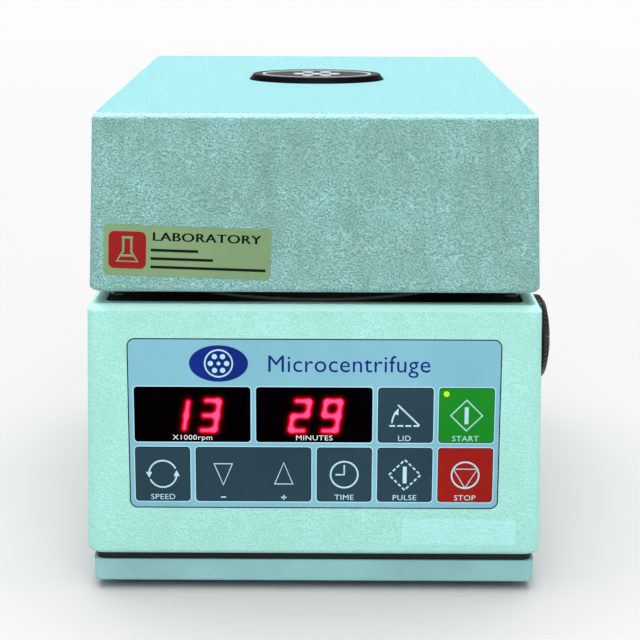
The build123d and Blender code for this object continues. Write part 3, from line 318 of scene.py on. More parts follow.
def turned_metal(name, colour, shade, pitch, relief, rough):
    """Metal turned on a lathe: fine rings about the rotor axis catch the light."""
    made, tree, shader = begin(name, Metallic=1.0, Roughness=rough)
    place = add(tree, "TexCoord").outputs["Object"]
    centred = add(tree, "Mapping", {"Vector": place, "Location": (0, -axis_y, 0)})
    rings = add(
        tree, "TexWave",
        {"Vector": centred.outputs["Vector"], "Scale": 1 / (20 * pitch), "Distortion": 0.4,
         "Detail": 2.0, "Detail Scale": 1.0},
        wave_type="RINGS", rings_direction="Z",
    )
    cloud = add(tree, "TexNoise", {"Vector": place, "Scale": 1 / (18 * mm), "Detail": 4.0})
    tone = add(
        tree, "ValToRGB", {"Fac": cloud.outputs["Fac"]},
        stops=[(0.3, linear(shade)), (0.7, linear(colour))],
    )
    tree.links.new(tone.outputs["Color"], shader.inputs["Base Color"])
    bump = add(
        tree, "Bump", {"Height": rings.outputs["Fac"], "Distance": relief, "Strength": 0.6}
    )
    tree.links.new(bump.outputs["Normal"], shader.inputs["Normal"])
    return made


# stainless steel, spun and polished; rings drawn 0.8 mm apart, coarser than life so they show
bowl_steel = turned_metal("stainless_steel_spun", "#B9BDC0", "#9A9FA3", 0.8 * mm, 0.02 * mm, 0.32)
# aluminium alloy, turned and clear anodised
rotor_alloy = turned_metal("aluminium_anodised_turned", "#AEB4BA", "#979DA4", 0.9 * mm, 0.03 * mm, 0.36)
# mild steel, bright zinc plated, satin from tumbling
zinc_steel = mottled(
    "steel_zinc_plated", "#B5B8BA", "#8F9396", 6 * mm, 0.5 * mm, 0.01 * mm, Metallic=1.0,
    Roughness=0.38,
)
# moulded nitrile rubber, matt with a grey bloom
seal_rubber = mottled(
    "nitrile_rubber_moulded", "#1C1D1F", "#111213", 9 * mm, 0.6 * mm, 0.03 * mm, Roughness=0.75,
    Specular_IOR_Level=0.3,
)
# neoprene feet, moulded: dull, with a coarse skin
foot_rubber = mottled(
    "neoprene_feet_moulded", "#232426", "#151617", 5 * mm, 0.7 * mm, 0.05 * mm, Roughness=0.8,
    Specular_IOR_Level=0.25,
)
# motor housing, dipped black enamel on drawn steel
motor_enamel = mottled(
    "motor_enamel_dipped", "#2B2E31", "#1C1F21", 12 * mm, 1.2 * mm, 0.04 * mm, Metallic=0.3,
    Roughness=0.42,
)


def laminated(name, colour, seam, pitch, along):
    """Stacked steel sheets: a dark seam every sheet thickness along one axis."""
    made, tree, shader = begin(name, Metallic=0.8, Roughness=0.5)
    place = add(tree, "TexCoord").outputs["Object"]
    bands = add(
        tree, "TexWave", {"Vector": place, "Scale": 1 / (20 * pitch), "Distortion": 0.0},
        wave_type="BANDS", bands_direction=along,
    )
    tone = add(
        tree, "ValToRGB", {"Fac": bands.outputs["Fac"]},
        stops=[(0.1, linear(seam)), (0.35, linear(colour))],
    )
    tree.links.new(tone.outputs["Color"], shader.inputs["Base Color"])
    return made


# sheets drawn 1 mm thick, coarser than the real 0.5 mm so that they show
core_iron = laminated("electrical_steel_laminated", "#6C6E70", "#2B2B2C", 1.0 * mm, "Z")
transformer_iron = laminated("transformer_steel_varnished", "#5B4C3A", "#241D16", 1.0 * mm, "Y")


def printed_film(name, colour, shade, rough=0.5, level=0.08):
    """Screen-printed polyester overlay: even ink behind a velvet-textured film."""
    made, tree, shader = begin(name, Roughness=rough, Specular_IOR_Level=level)
    place = add(tree, "TexCoord").outputs["Object"]
    drift = add(tree, "TexNoise", {"Vector": place, "Scale": 1 / (45 * mm), "Detail": 3.0})
    tone = add(
        tree, "ValToRGB", {"Fac": drift.outputs["Fac"]},
        stops=[(0.35, linear(shade)), (0.65, linear(colour))],
    )
    tree.links.new(tone.outputs["Color"], shader.inputs["Base Color"])
    velvet = add(tree, "TexNoise", {"Vector": place, "Scale": 1 / (0.35 * mm), "Detail": 1.0})
    bump = add(
        tree, "Bump", {"Height": velvet.outputs["Fac"], "Distance": 0.01 * mm, "Strength": 0.5}
    )
    tree.links.new(bump.outputs["Normal"], shader.inputs["Normal"])
    return made


# overlay inks seen through the velvet film: even colour, hardly any gloss
film_blue = printed_film("polyester_film_pale_blue", "#82B9CB", "#7AB0C2")
film_slate = printed_film("polyester_film_slate", "#27414D", "#243C47")
film_green = printed_film("polyester_film_green", "#168B22", "#137F1E")
film_red = printed_film("polyester_film_red", "#9E1A11", "#92160F")
# neutral filter over the digits: close to no reflection, so the windows read as holes
film_filter = printed_film("polyester_filter_black", "#040204", "#020102", 0.6, 0.0)
# inks laid on the surface; the key lines are the palest
ink_pale = printed_film("screen_ink_pale", "#B8DFE6", "#ABD4DC")
ink_line = printed_film("screen_ink_key_line", "#B5E4F0", "#A8DAE8")
ink_navy = printed_film("screen_ink_navy", "#0B2A86", "#08226F")
# black ink; the same near-black also draws the painted shade in the groove round the panel
black_ink_and_groove_shade = printed_film("screen_ink_black_and_groove_shade", "#16191A", "#0E1011")
ink_white = printed_film("screen_ink_white", "#E6EDEA", "#D8E0DD")
# stuck vinyl label, faded to khaki, with a deep red block
label_khaki = printed_film("vinyl_label_khaki", "#7F9C72", "#76926B", 0.5)
label_red = printed_film("vinyl_label_red", "#931D1D", "#871818", 0.5)
# ABS knob, moulded black with a fine spark texture
knob_abs = mottled(
    "abs_knob_spark_textured", "#060909", "#030505", 4 * mm, 0.4 * mm, 0.03 * mm, Roughness=0.35,
    Specular_IOR_Level=0.2,
)
# ABS badge, moulded and polished: reads as plain deep black, its outline sharp
badge_gloss = mottled(
    "abs_badge_polished", "#06090C", "#040608", 15 * mm, 2.0 * mm, 0.01 * mm, Roughness=0.25,
    Specular_IOR_Level=0.02,
)
# brushed aluminium emblem lines: a bright, slightly milky silver
badge_silver = mottled(
    "aluminium_badge_brushed", "#E6EFF2", "#CBD8DC", 3 * mm, 0.3 * mm, 0.01 * mm, Metallic=0.6,
    Roughness=0.35,
)
# nylon 66 fittings, moulded: black with a soft gleam on edges
black_nylon = mottled(
    "nylon_moulded_black", "#16181A", "#0D0F10", 8 * mm, 0.5 * mm, 0.03 * mm, Roughness=0.45,
    Specular_IOR_Level=0.45,
)
# brass pins, nickel plated: warm silver
brass_nickel = mottled(
    "brass_nickel_plated", "#C7C2B2", "#A9A391", 3 * mm, 0.4 * mm, 0.01 * mm, Metallic=1.0,
    Roughness=0.28,
)


def glowing(name, stops, strength, attribute=None):
    """Light seen through a filter: the colour follows an attribute, or is even over a small lens."""
    made, tree, shader = begin(name, Roughness=0.6, Specular_IOR_Level=0.0)
    shader.inputs["Base Color"].default_value = linear("#030102")
    if attribute:
        level = add(tree, "Attribute", attribute_name=attribute).outputs["Fac"]
    else:
        place = add(tree, "TexCoord").outputs["Object"]
        level = add(tree, "TexNoise", {"Vector": place, "Scale": 900.0}).outputs["Fac"]
    tone = add(tree, "ValToRGB", {"Fac": level}, stops=stops)
    tree.links.new(tone.outputs["Color"], shader.inputs["Emission Color"])
    shader.inputs["Emission Strength"].default_value = strength
    return made


digit_glow = glowing(
    "led_segments_behind_filter",
    [(0.0, linear("#000000")), (0.2, linear("#3C0004")), (0.45, linear("#C4000E")),
     (0.75, linear("#FF1440")), (1.0, linear("#FF5CA0"))],
    1.0, "glow",
)
led_lens = glowing(
    "led_lens_lit", [(0.3, linear("#B8E81C")), (0.7, linear("#E2FF3A"))], 1.0
)


def board_finish(name, mask_top, parts_colour):
    """Solder-masked board, with its components told apart by their height."""
    made, tree, shader = begin(name, Roughness=0.4)
    place = add(tree, "TexCoord").outputs["Object"]
    height = add(tree, "SeparateXYZ", {0: place}).outputs["Z"]
    above = add(tree, "Math", {0: height, 1: mask_top}, operation="GREATER_THAN")
    tracks = add(
        tree, "TexVoronoi", {"Vector": place, "Scale": 1 / (5 * mm)}, distance="CHEBYCHEV"
    )
    mask = add(
        tree, "ValToRGB", {"Fac": tracks.outputs["Distance"]},
        stops=[(0.25, linear("#12402A")), (0.5, linear("#1B5A38"))],
    )
    colour = add(
        tree, "Mix",
        {0: above.outputs[0], 6: mask.outputs["Color"], 7: linear(parts_colour)},
        data_type="RGBA",
    )
    tree.links.new(colour.outputs[2], shader.inputs["Base Color"])
    return made


main_board = board_finish("glass_epoxy_board_main", 13.8 * mm, "#23272C")
front_board = board_finish("glass_epoxy_board_front", 1.0, "#23272C")

finishes = {
    paint_base: ["base_shell"],
    paint_lid: ["lid_shell"],
    paint_plinth: ["base_tray"],
    deck_abs: ["deck_plate"],
    liner_abs: ["lid_liner"],
    bowl_steel: ["bowl"],
    rotor_alloy: ["rotor"],
    zinc_steel: [
        "deck_screws", "liner_screws", "shell_screws", "drive_shaft", "motor_bearings",
        "motor_bracket", "hinge_brackets", "hinge_rod", "hinge_leaves", "lid_striker",
        "latch_hook", "knob_shaft", "lock_plunger", "board_standoffs",
    ],
    seal_rubber: ["bowl_seal", "shaft_boot", "motor_mounts"],
    foot_rubber: ["rubber_feet"],
    motor_enamel: ["motor_can", "motor_end_caps", "lock_solenoid"],
    core_iron: ["stator", "armature"],
    transformer_iron: ["transformer"],
    film_blue: ["front_fascia"],
    film_slate: ["speed_key", "adjust_key", "time_key", "pulse_key", "lid_key"],
    film_green: ["start_key"],
    film_red: ["stop_key"],
    film_filter: ["speed_window", "time_window", "speed_display", "time_display"],
    led_lens: ["start_led"],
    front_board: ["switch_film", "front_board"],
    main_board: ["control_board"],
    knob_abs: ["release_knob", "rotor_nut"],
    badge_gloss: ["lid_badge"],
    badge_silver: ["badge_inlay"],
    label_khaki: ["lid_label"],
    black_nylon: [
        "mains_inlet", "fuse_drawer", "switch_bezel", "power_rocker", "knob_bush", "motor_fan",
    ],
}
for finish, names in finishes.items():
    for name in names:
        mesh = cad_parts[name].data
        if not mesh.materials:
            mesh.materials.append(finish)
        for i in range(len(mesh.materials)):
            mesh.materials[i] = finish


# ------------------------------------------------------------------ modelling helpers
def alone(obj):
    """Leaves just this object selected and active."""
    bpy.ops.object.select_all(action="DESELECT")
    obj.select_set(True)
    bpy.context.view_layer.objects.active = obj


def joined(objects):
    """Several mesh objects made one."""
    alone(objects[0])
    for obj in objects[1:]:
        obj.select_set(True)
    if len(objects) > 1:
        bpy.ops.object.join()
    return bpy.context.object


def placed(obj, place):
    """Moves an object's shape by a matrix and leaves the object itself at the origin."""
    bpy.context.view_layer.update()
    obj.data.transform(place @ obj.matrix_world)
    obj.matrix_world = Matrix.Identity(4)
    return obj


def ready(obj, name, finish, body):
    """Names a finished piece, gives it its finish and lets it ride on a CAD body."""
    obj.name = name
    obj.data.name = name
    obj.data.materials.clear()
    obj.data.materials.append(finish)
    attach(obj, body)
    return obj


def pick_faces(obj, wanted):
    """In edit mode, selects just the faces whose centre and normal are wanted."""
    bpy.ops.object.mode_set(mode="EDIT")
    bpy.ops.mesh.select_mode(type="FACE")
    bpy.ops.mesh.select_all(action="DESELECT")
    shape = bmesh.from_edit_mesh(obj.data)
    for face in shape.faces:
        face.select_set(bool(wanted(face.calc_center_median(), face.normal)))
    bmesh.update_edit_mesh(obj.data)


def flat_plate(width, height, radius, thick, line=None):
    """A thin plate with rounded corners, or with line given just its outline of that width."""
    bpy.ops.object.select_all(action="DESELECT")
    bpy.ops.mesh.primitive_plane_add(size=1)
    plate = bpy.context.object
    plate.scale = (width, height, 1)
    bpy.ops.object.transform_apply(location=False, rotation=False, scale=True)
    bpy.ops.object.mode_set(mode="EDIT")
    bpy.ops.mesh.select_all(action="SELECT")
    bpy.ops.mesh.bevel(affect="VERTICES", offset=radius, segments=6)
    if line:
        bpy.ops.mesh.select_all(action="SELECT")
        bpy.ops.mesh.inset(thickness=line)
        bpy.ops.mesh.delete(type="FACE")
        bpy.ops.mesh.select_all(action="SELECT")
    bpy.ops.mesh.extrude_region_move(TRANSFORM_OT_translate={"value": (0, 0, thick)})
    bpy.ops.object.mode_set(mode="OBJECT")
    return plate


def line_art(strokes, width, thick):
    """Printed strokes of an even width; each stroke is (points in mm, closed or not)."""
    drawn = bpy.data.curves.new("strokes", "CURVE")
    drawn.dimensions = "3D"
    drawn.bevel_depth = width / 2
    drawn.bevel_resolution = 1
    drawn.use_fill_caps = True
    for points, closed in strokes:
        line = drawn.splines.new("POLY")
        line.points.add(len(points) - 1)
        for point, (x, y) in zip(line.points, points):
            point.co = (x * mm, y * mm, 0, 1)
        line.use_cyclic_u = closed
    obj = bpy.data.objects.new("strokes", drawn)
    bpy.context.scene.collection.objects.link(obj)
    alone(obj)
    bpy.ops.object.convert(target="MESH")
    obj = bpy.context.object
    obj.data.transform(Matrix.Diagonal((1, 1, thick / (width / 2), 1)))
    return obj


def arc(radius, start, end, x=0.0, y=0.0, step=6):
    """Points along an arc, angles in degrees."""
    count = max(2, int(abs(end - start) / step))
    angles = [radians(start + (end - start) * i / count) for i in range(count + 1)]
    return [(x + radius * cos(a), y + radius * sin(a)) for a in angles]


def filled(points, thick):
    """A thin filled shape with the given corners, in mm, from a flat curve made mesh."""
    drawn = bpy.data.curves.new("filled", "CURVE")
    drawn.dimensions = "2D"
    drawn.fill_mode = "BOTH"
    drawn.extrude = thick / 2
    edge = drawn.splines.new("POLY")
    edge.points.add(len(points) - 1)
    for point, (x, y) in zip(edge.points, points):
        point.co = (x * mm, y * mm, 0, 1)
    edge.use_cyclic_u = True
    obj = bpy.data.objects.new("filled", drawn)
    bpy.context.scene.collection.objects.link(obj)
    alone(obj)
    bpy.ops.object.convert(target="MESH")
    return placed(bpy.context.object, Matrix.Translation((0, 0, thick / 2)))


def word(text, cap_height, thick, spread=1.0, wide=1.0):
    """A line of printed lettering, centred, with capitals of the given height."""
    bpy.ops.object.select_all(action="DESELECT")
    bpy.ops.object.text_add()
    obj = bpy.context.object
    obj.data.body = text
    obj.data.align_x = "CENTER"
    obj.data.align_y = "CENTER"
    obj.data.size = cap_height / 0.69
    obj.data.space_character = spread
    obj.data.extrude = thick / 2
    obj.data.resolution_u = 3
    bpy.ops.object.convert(target="MESH")
    obj = bpy.context.object
    obj.data.transform(Matrix.Diagonal((wide, 1, 1, 1)))
    return obj


def at(x, y, out=0.0, turn=0.0):
    """A shift across a face, in mm, with a turn in degrees."""
    return Matrix.Translation((x * mm, y * mm, out * mm)) @ Matrix.Rotation(radians(turn), 4, "Z")


# ------------------------------------------------------------------ keypad print
ink = 0.03 * mm         # printed ink and line thickness
pitch_x = 24.9
pitch_y = 25.5
row_low = -21.4
row_high = row_low + pitch_y
columns = [(i - 2.5) * pitch_x for i in range(6)]
key_w, key_h = 22.7, 23.4
windows = {"speed": (columns[0] + columns[1]) / 2, "time": (columns[2] + columns[3]) / 2}
key_out = 0.1           # keys stand this far out of the panel, mm

outlines = []
for x, y, width in (
    [(columns[i], row_low, key_w) for i in (0, 3, 4, 5)]
    + [(columns[i], row_high, key_w) for i in (4, 5)]
    + [((columns[1] + columns[2]) / 2, row_low, key_w + pitch_x)]
    + [(x, row_high, key_w + pitch_x) for x in windows.values()]
):
    frame_line = flat_plate((width + 0.8) * mm, (key_h + 0.8) * mm, 1.8 * mm, ink, 0.36 * mm)
    outlines.append(placed(frame_line, panel_face @ at(x, y)))
ready(joined(outlines), "key_outlines", ink_line, "casing")

half_diamond = 6.5
diamond = [(0, half_diamond), (half_diamond, 0), (0, -half_diamond), (-half_diamond, 0)]
bar = [(-0.8, -3.6), (0.8, -3.6), (0.8, 3.6), (-0.8, 3.6)]
stroke = 0.75 * mm
label_drop = -9.9       # key word below the key's centre
word_h = 2.25 * mm


def dashes(start, end, count, share):
    """A straight line broken into dashes, each taking share of its pitch."""
    run = Vector(end) - Vector(start)
    pieces = []
    for i in range(count):
        a = Vector(start) + run * (i / count)
        b = Vector(start) + run * ((i + share) / count)
        pieces.append(([tuple(a), tuple(b)], False))
    return pieces


def key_art(body, name, x, y, shapes, text, text_x=0.0):
    """Joins a key's printed symbol and word, laid on the key and riding with it."""
    art = [placed(shape, panel_face @ at(x, y, key_out)) for shape in shapes]
    if text:
        art.append(placed(
            word(text, word_h, ink, 1.05, 1.12), panel_face @ at(x + text_x, y + label_drop, key_out)
        ))
    ready(joined(art), name, ink_pale, body)


turn_r = 5.7
speed_arcs = [(arc(turn_r, 24, 176), False), (arc(turn_r, 204, 356), False)]
arrow_left = [(-turn_r - 1.3, 0.9), (-turn_r + 1.3, 0.9), (-turn_r + 0.1, -1.7)]
arrow_right = [(turn_r - 1.3, -0.9), (turn_r + 1.3, -0.9), (turn_r - 0.1, 1.7)]
key_art(
    "speed_button", "speed_symbol", columns[0], row_low,
    [line_art(speed_arcs, stroke, ink), filled(arrow_left, ink), filled(arrow_right, ink)],
    "SPEED",
)
down = [(-3.75, 4.5), (3.75, 4.5), (0, -4.6)]
up = [(-3.75, -4.1), (3.75, -4.1), (0, 5.0)]
adjust_x = (columns[1] + columns[2]) / 2
marks = []
for side, triangle in ((-1, down), (1, up)):
    mark = line_art([(triangle, True)], stroke, ink)
    marks.append(placed(mark, at(side * pitch_x / 2, 0)))
minus = line_art([([(-1.1, 0), (1.1, 0)], False)], 0.55 * mm, ink)
plus = line_art([([(-1.1, 0), (1.1, 0)], False), ([(0, -1.1), (0, 1.1)], False)], 0.55 * mm, ink)
marks.append(placed(minus, at(-pitch_x / 2, label_drop)))
marks.append(placed(plus, at(pitch_x / 2, label_drop)))
key_art("adjust", "adjust_symbols", adjust_x, row_low, marks, None)
clock = [(arc(5.6, 0, 354), True), ([(-3.6, 0), (0, 0), (0, 4.2)], False)]
key_art("time_button", "time_symbol", columns[3], row_low, [line_art(clock, stroke, ink)], "TIME")
broken = []
for i in range(4):
    broken += dashes(diamond[i], diamond[(i + 1) % 4], 4, 0.62)
key_art(
    "pulse_button", "pulse_symbol", columns[4], row_low,
    [line_art(broken, stroke, ink), filled(bar, ink)], "PULSE",
)
stop_points = [(5.6 * cos(radians(a)), 5.6 * sin(radians(a))) for a in (28, 152, 270)]
key_art(
    "stop_button", "stop_symbol", columns[5], row_low,
    [line_art([(arc(5.6, 0, 354), True), (stop_points, True)], stroke, ink)], "STOP",
)
key_art(
    "start_button", "start_symbol", columns[5], row_high,
    [line_art([(diamond, True)], stroke, ink), filled(bar, ink)], "START", -0.3,
)
lid_lines = [([(-3.2, 4.4), (5.6, -4.2)], False), (arc(9.6, 176, 146, 4.0, -4.0), False)]
lid_lines += dashes((-6.6, -4.5), (6.6, -4.5), 4, 0.72)
key_art(
    "lid_button", "lid_symbol", columns[4], row_high,
    [line_art(lid_lines, stroke, ink), filled([(-4.9, 0.9), (-3.0, 0.0), (-2.9, 3.0)], ink)],
    "LID", -0.4,
)

# header: a plain rotor sign on a navy oval, and the instrument's kind, in navy ink
header_y = 25.6
sign_place = panel_face @ at(-38.9, header_y)
oval = [(12.0 * cos(radians(a)), 7.6 * sin(radians(a))) for a in range(0, 360, 6)]
ready(placed(filled(oval, ink), sign_place), "panel_oval", ink_navy, "casing")
sign = [line_art([(arc(5.6, 0, 354), True)], 0.7 * mm, ink), filled(arc(0.8, 0, 336, step=24), ink)]
for i in range(6):
    spot = filled(arc(1.1, 0, 336, step=24), ink)
    sign.append(placed(spot, at(3.3 * cos(radians(60 * i)), 3.3 * sin(radians(60 * i)))))
sign = [placed(piece, sign_place @ at(0, 0, ink / mm)) for piece in sign]
ready(joined(sign), "panel_rotor_sign", ink_pale, "casing")
title = placed(word("Microcentrifuge", 6.9 * mm, ink, 1.04, 1.0), panel_face @ at(14.0, header_y - 0.4))
ready(title, "panel_title", ink_navy, "casing")

# near-black strip in the seam between the panel and its recess: painted shade for the shadow in that
# groove
panel_w = (panel_high.x - panel_low.x) / mm
groove_shade = flat_plate((panel_w + 0.75) * mm, panel_h + 0.75 * mm, 3.35 * mm, 0.06 * mm, 0.45 * mm)
ready(placed(groove_shade, panel_face @ at(0, 0, -0.05)), "panel_groove_shade", black_ink_and_groove_shade, "casing")

# ------------------------------------------------------------------ lit digits
digit_pitch = 12.7
digit_half_w = 3.05
digit_half_h = 6.3
slant = tan(radians(9))
segment_ends = {
    "a": ((-1, 1), (1, 1)), "b": ((1, 1), (1, 0)), "c": ((1, 0), (1, -1)),
    "d": ((-1, -1), (1, -1)), "e": ((-1, 0), (-1, -1)), "f": ((-1, 1), (-1, 0)),
    "g": ((-1, 0), (1, 0)),
}
lit = {"1": "bc", "2": "abged", "3": "abgcd", "9": "abcdfg"}
readings = {"speed": "13", "time": "29"}
glow_core = 0.22        # half width of a segment's bright middle, mm
glow_reach = 1.15       # how far the light spreads in the filter, mm
digit_shift = {"speed": 0.8, "time": 0.6}


def gap_to(point, start, end):
    """Distance from a point to a straight segment."""
    run = end - start
    share = max(0.0, min(1.0, (point - start).dot(run) / run.length_squared))
    return (point - start - run * share).length


for name, x in windows.items():
    strokes = []
    for place, digit in zip((-0.5, 0.5), readings[name]):
        for segment in lit[digit]:
            ends = [Vector((u * digit_half_w, v * digit_half_h)) for u, v in segment_ends[segment]]
            run = (ends[1] - ends[0]).normalized() * 0.75
            ends = [ends[0] + run, ends[1] - run]
            strokes.append([
                Vector((e.x + slant * e.y + place * digit_pitch, e.y)) for e in ends
            ])
    bpy.ops.object.select_all(action="DESELECT")
    bpy.ops.mesh.primitive_grid_add(x_subdivisions=110, y_subdivisions=68, size=1)
    screen = bpy.context.object
    screen.scale = (30 * mm, 18.4 * mm, 1)
    bpy.ops.object.transform_apply(location=False, rotation=False, scale=True)
    level = screen.data.attributes.new("glow", "FLOAT", "POINT")
    for vertex in screen.data.vertices:
        spot = Vector((vertex.co.x / mm, vertex.co.y / mm))
        gaps = sorted(max(0.0, gap_to(spot, a, b) - glow_core) for a, b in strokes)
        light = sum(exp(-(gap / glow_reach) ** 1.5) for gap in gaps[:2])
        level.data[vertex.index].value = min(1.0, light)
    placed(screen, panel_face @ at(x + digit_shift[name], row_high - 0.45, -0.07))
    ready(screen, name + "_digits", digit_glow, "casing")
for name, text in (("speed", "X1000rpm"), ("time", "MINUTES")):
    unit = placed(
        word(text, 2.1 * mm, ink, 1.08, 1.16), panel_face @ at(windows[name], row_high - 9.9, -0.08)
    )
    ready(unit, name + "_unit", ink_white, "casing")

# ------------------------------------------------------------------ label on the lid
label_t = 0.2           # label's thickness, mm
label_place = lid_face @ at(-50.8, 16.5, label_t, -1.8)
block_x = -23.9         # red block's centre, from the label's
rule_left = -14.6       # where the printed rules start
red_block = flat_plate(15.0 * mm, 15.0 * mm, 2.4 * mm, ink)
ready(placed(red_block, label_place @ at(block_x, 0)), "label_red_block", label_red, "lid")
tube_lines = [
    ([(-2.2, 5.0), (2.2, 5.0)], False),
    ([(-1.6, 5.0), (-1.6, -0.6), (-4.2, -4.6), (4.2, -4.6), (1.6, -0.6), (1.6, 5.0)], False),
    ([(-2.7, -2.3), (2.7, -2.3)], False),
]
flask = placed(line_art(tube_lines, 1.0 * mm, ink), label_place @ at(block_x, 0, ink / mm))
ready(flask, "label_flask", label_khaki, "lid")
rules = []
for nudge in (-0.16, 0.0, 0.16):    # three passes side by side make the heading bold
    heading = word("LABORATORY", 3.4 * mm, ink, 1.05, 1.32)
    rules.append(placed(heading, label_place @ at(7.6 + nudge, 5.6)))
for y, length in ((0.3, 19.0), (-3.1, 25.0), (-6.5, 46.0)):
    rule = flat_plate(length * mm, 1.1 * mm, 0.3 * mm, ink)
    rules.append(placed(rule, label_place @ at(rule_left + length / 2, y)))
ready(joined(rules), "label_print", black_ink_and_groove_shade, "lid")


# ------------------------------------------------------------------ latch knob
def raised(profile, sides):
    """A round solid: a disc extruded and scaled ring by ring, profile in mm as (radius, height)."""
    bpy.ops.object.select_all(action="DESELECT")
    bpy.ops.mesh.primitive_circle_add(
        vertices=sides, radius=profile[0][0] * mm, fill_type="NGON",
        location=(0, 0, profile[0][1] * mm),
    )
    solid = placed(bpy.context.object, Matrix.Identity(4))
    bpy.ops.object.mode_set(mode="EDIT")
    bpy.ops.mesh.select_all(action="SELECT")
    for (r0, z0), (r1, z1) in zip(profile, profile[1:]):
        bpy.ops.mesh.extrude_region_move(TRANSFORM_OT_translate={"value": (0, 0, (z1 - z0) * mm)})
        ratio = r1 / r0
        bpy.ops.transform.resize(value=(ratio, ratio, 1), center_override=(0, 0, z1 * mm))
    bpy.ops.mesh.select_all(action="SELECT")
    bpy.ops.mesh.normals_make_consistent(inside=False)
    bpy.ops.object.mode_set(mode="OBJECT")
    return solid


knob_r = 18.2
knob_t = (knob_high.x - knob_low.x) / mm - 0.4
dome_h = 4.2
tread_columns = 48
tread_rows = [(3, 30), (35, 55), (59, 74)]
shoulder = [(knob_r, 0.0), (knob_r, 0.4), (knob_r, knob_t - dome_h - 0.1)]
for low, high in tread_rows:
    for angle in (low, high):
        a = radians(angle)
        shoulder.append((knob_r * cos(a), knob_t - dome_h + dome_h * sin(a)))
shoulder += [(4.2, knob_t - 0.05), (3.6, knob_t - 0.5), (1.5, knob_t - 0.5)]
knob = raised(shoulder, tread_columns * 3)


def on_tread(centre, normal):
    """Two thirds of each column, on the straight wall and on the rows round the dome."""
    column = int((atan2(centre.y, centre.x) + pi) / (2 * pi) * tread_columns * 3) % 3
    if column == 2 or normal.z < -0.1:
        return False
    height = centre.z / mm
    if 0.4 < height < knob_t - dome_h - 0.1:
        return abs(normal.z) < 0.1
    lift = degrees(asin(max(-1.0, min(1.0, (height - knob_t + dome_h) / dome_h))))
    return any(low < lift < high for low, high in tread_rows)


pick_faces(knob, on_tread)
bpy.ops.mesh.extrude_region_shrink_fatten(TRANSFORM_OT_shrink_fatten={"value": 0.4 * mm})
bpy.ops.object.mode_set(mode="OBJECT")
knob_centre = (knob_low + knob_high) / 2
knob_place = facing(
    Vector((knob_low.x, knob_centre.y, knob_centre.z)), Vector((0, 1, 0)), Vector((0, 0, 1))
)
placed(knob, knob_place)
ready(knob, "knob_grip", knob_abs, "latch")
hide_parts("release_knob")


# ------------------------------------------------------------------ screws with cross recesses
def pan_screw(radius, height):
    """A pan-head screw, its cross recess cut out of the domed top."""
    head = raised(
        [(radius, 0.0), (radius, height * 0.55), (radius * 0.86, height * 0.85),
         (radius * 0.55, height)], 24,
    )
    cutters = []
    for turn in (0, 90):
        cutter = filled([(-radius * 0.6, -0.35), (radius * 0.6, -0.35),
                         (radius * 0.6, 0.35), (-radius * 0.6, 0.35)], height * mm)
        cutters.append(placed(cutter, at(0, 0, height * 0.45, turn)))
    for cutter in cutters:
        cut = head.modifiers.new("recess", "BOOLEAN")
        cut.operation = "DIFFERENCE"
        cut.object = cutter
        cut.solver = "EXACT"
        alone(head)
        bpy.ops.object.modifier_apply(modifier=cut.name)
        bpy.data.objects.remove(cutter)
    return head


def copies(obj, places):
    """Separate copies of a shape, each with its own mesh, joined at their places."""
    made = []
    for place in places:
        copy = bpy.data.objects.new(obj.name, obj.data.copy())
        bpy.context.scene.collection.objects.link(copy)
        made.append(placed(copy, place))
    bpy.data.objects.remove(obj)
    return joined(made)


deck_screw_r = 3.2
liner_screw_r = 2.8
hinge_foot_t = 1.6
hinge_screw_x = (-75.5, -59.5, 59.5, 75.5)
hinge_screw_back = 6.6  # screws in front of the hinge rod's near side
deck_w = (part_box("deck_plate")[1].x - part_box("deck_plate")[0].x) / mm
deck_d = (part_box("deck_plate")[1].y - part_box("deck_plate")[0].y) / mm
foot_top = shell_high.z + hinge_foot_t * mm
hinge_screw_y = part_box("hinge_rod")[0].y / mm - hinge_screw_back
deck_places = [
    Matrix.Translation((
        sx * (deck_w / 2 - deck_screw_r) * mm, sy * (deck_d / 2 - 16.0) * mm, deck_top,
    ))
    for sx in (-1, 1) for sy in (-1, 1)
]
hinge_places = [
    Matrix.Translation((x * mm, hinge_screw_y * mm, foot_top)) for x in hinge_screw_x
]
deck_heads = ready(
    copies(pan_screw(deck_screw_r, 1.4), deck_places + hinge_places), "deck_screw_heads", zinc_steel,
    "casing",
)
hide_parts("deck_screws")
liner_low, liner_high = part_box("liner_screws")
lid_screws = [
    Matrix.Translation((x, y, lid_low.z)) @ Matrix.Rotation(pi, 4, "X")
    for x in (liner_low.x + liner_screw_r * mm, liner_high.x - liner_screw_r * mm)
    for y in (liner_low.y + liner_screw_r * mm, liner_high.y - liner_screw_r * mm)
]
lid_heads = ready(
    copies(pan_screw(liner_screw_r, 1.6), lid_screws), "liner_screw_heads", zinc_steel, "lid"
)
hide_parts("liner_screws")

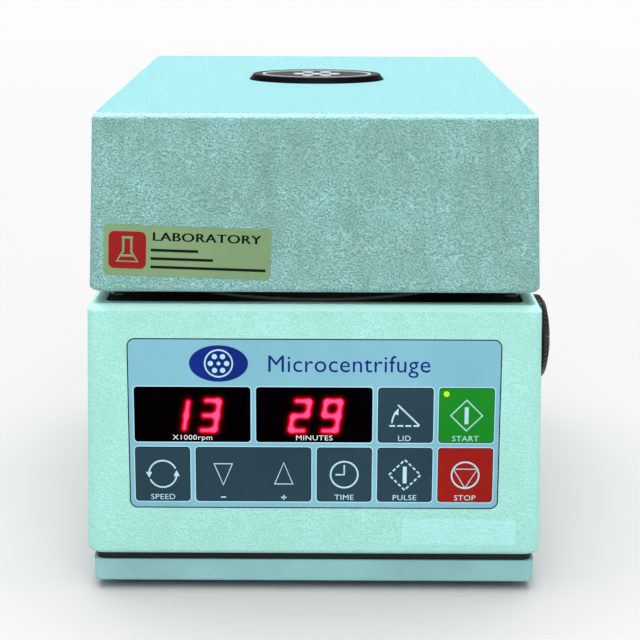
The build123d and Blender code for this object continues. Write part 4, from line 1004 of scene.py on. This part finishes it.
# ------------------------------------------------------------------ rotor numbers
rim_r = 40.0
number_r = 46.0
cone_lean = atan2(26.0, 24.5)
numbers = []
for i in range(12):
    turn = 2 * pi * (i + 0.5) / 12
    figure = word(str(i + 1), 3.6 * mm, ink)
    out = Vector((cos(turn), sin(turn), 0))
    along = Vector((-sin(turn), cos(turn), 0))
    up_slope = (Vector((0, 0, 1)) * sin(cone_lean) - out * cos(cone_lean)).normalized()
    height = rotor_high.z - (number_r - rim_r) * mm * tan(cone_lean)
    spot = Vector((0, axis_y, height)) + out * number_r * mm
    numbers.append(placed(figure, facing(spot, along, up_slope)))
ready(joined(numbers), "rotor_numbers", black_ink_and_groove_shade, "rotor_set")

# ------------------------------------------------------------------ rear fittings
rear_z = 47.0
rear_face = facing(
    Vector((
        0,
        shell_high.y + rounding_loss(base_draft) - (rear_z * mm - shell_low.z) * tan(base_draft),
        rear_z * mm,
    )),
    Vector((-1, 0, 0)), Vector((0, -sin(base_draft), cos(base_draft))),
)
pin_l = 12.2            # earth and line pins of the inlet
pins = []
for x, y in ((45.0, 7.5), (59.0, 7.5), (52.0, 11.5)):
    pin = flat_plate(2.3 * mm, 4.3 * mm, 0.5 * mm, pin_l * mm)
    pick_faces(pin, lambda centre, normal: normal.z > 0.9)
    bpy.ops.transform.resize(value=(0.6, 0.75, 1), center_override=(0, 0, pin_l * mm))
    bpy.ops.object.mode_set(mode="OBJECT")
    pins.append(placed(pin, rear_face @ at(x, y, -13.8)))
ready(joined(pins), "inlet_pins", brass_nickel, "casing")

# ------------------------------------------------------------------ floor
bpy.ops.object.select_all(action="DESELECT")
bpy.ops.mesh.primitive_plane_add(size=40, location=(0, 0, floor_z))
floor = bpy.context.object
floor.name = "floor"
floor_paper, tree, shader = begin("backdrop_paper_painted_light", Roughness=0.9, Specular_IOR_Level=0.1)
depth = add(tree, "SeparateXYZ", {0: add(tree, "TexCoord").outputs["Object"]}).outputs["Y"]
# painted light: the paper is paler in front of the object, darkest about it and a little paler far
# behind, evening out how bright the floor reads
share = add(tree, "MapRange", {"Value": depth, "From Min": -0.4, "From Max": 3.0})
tone = add(
    tree, "ValToRGB", {"Fac": share.outputs["Result"]},
    stops=[(0.0, linear("#C2C2C2")), (0.12, linear("#B2B2B2")), (1.0, linear("#B6B6B6"))],
)
tree.links.new(tone.outputs["Color"], shader.inputs["Base Color"])
floor.data.materials.append(floor_paper)
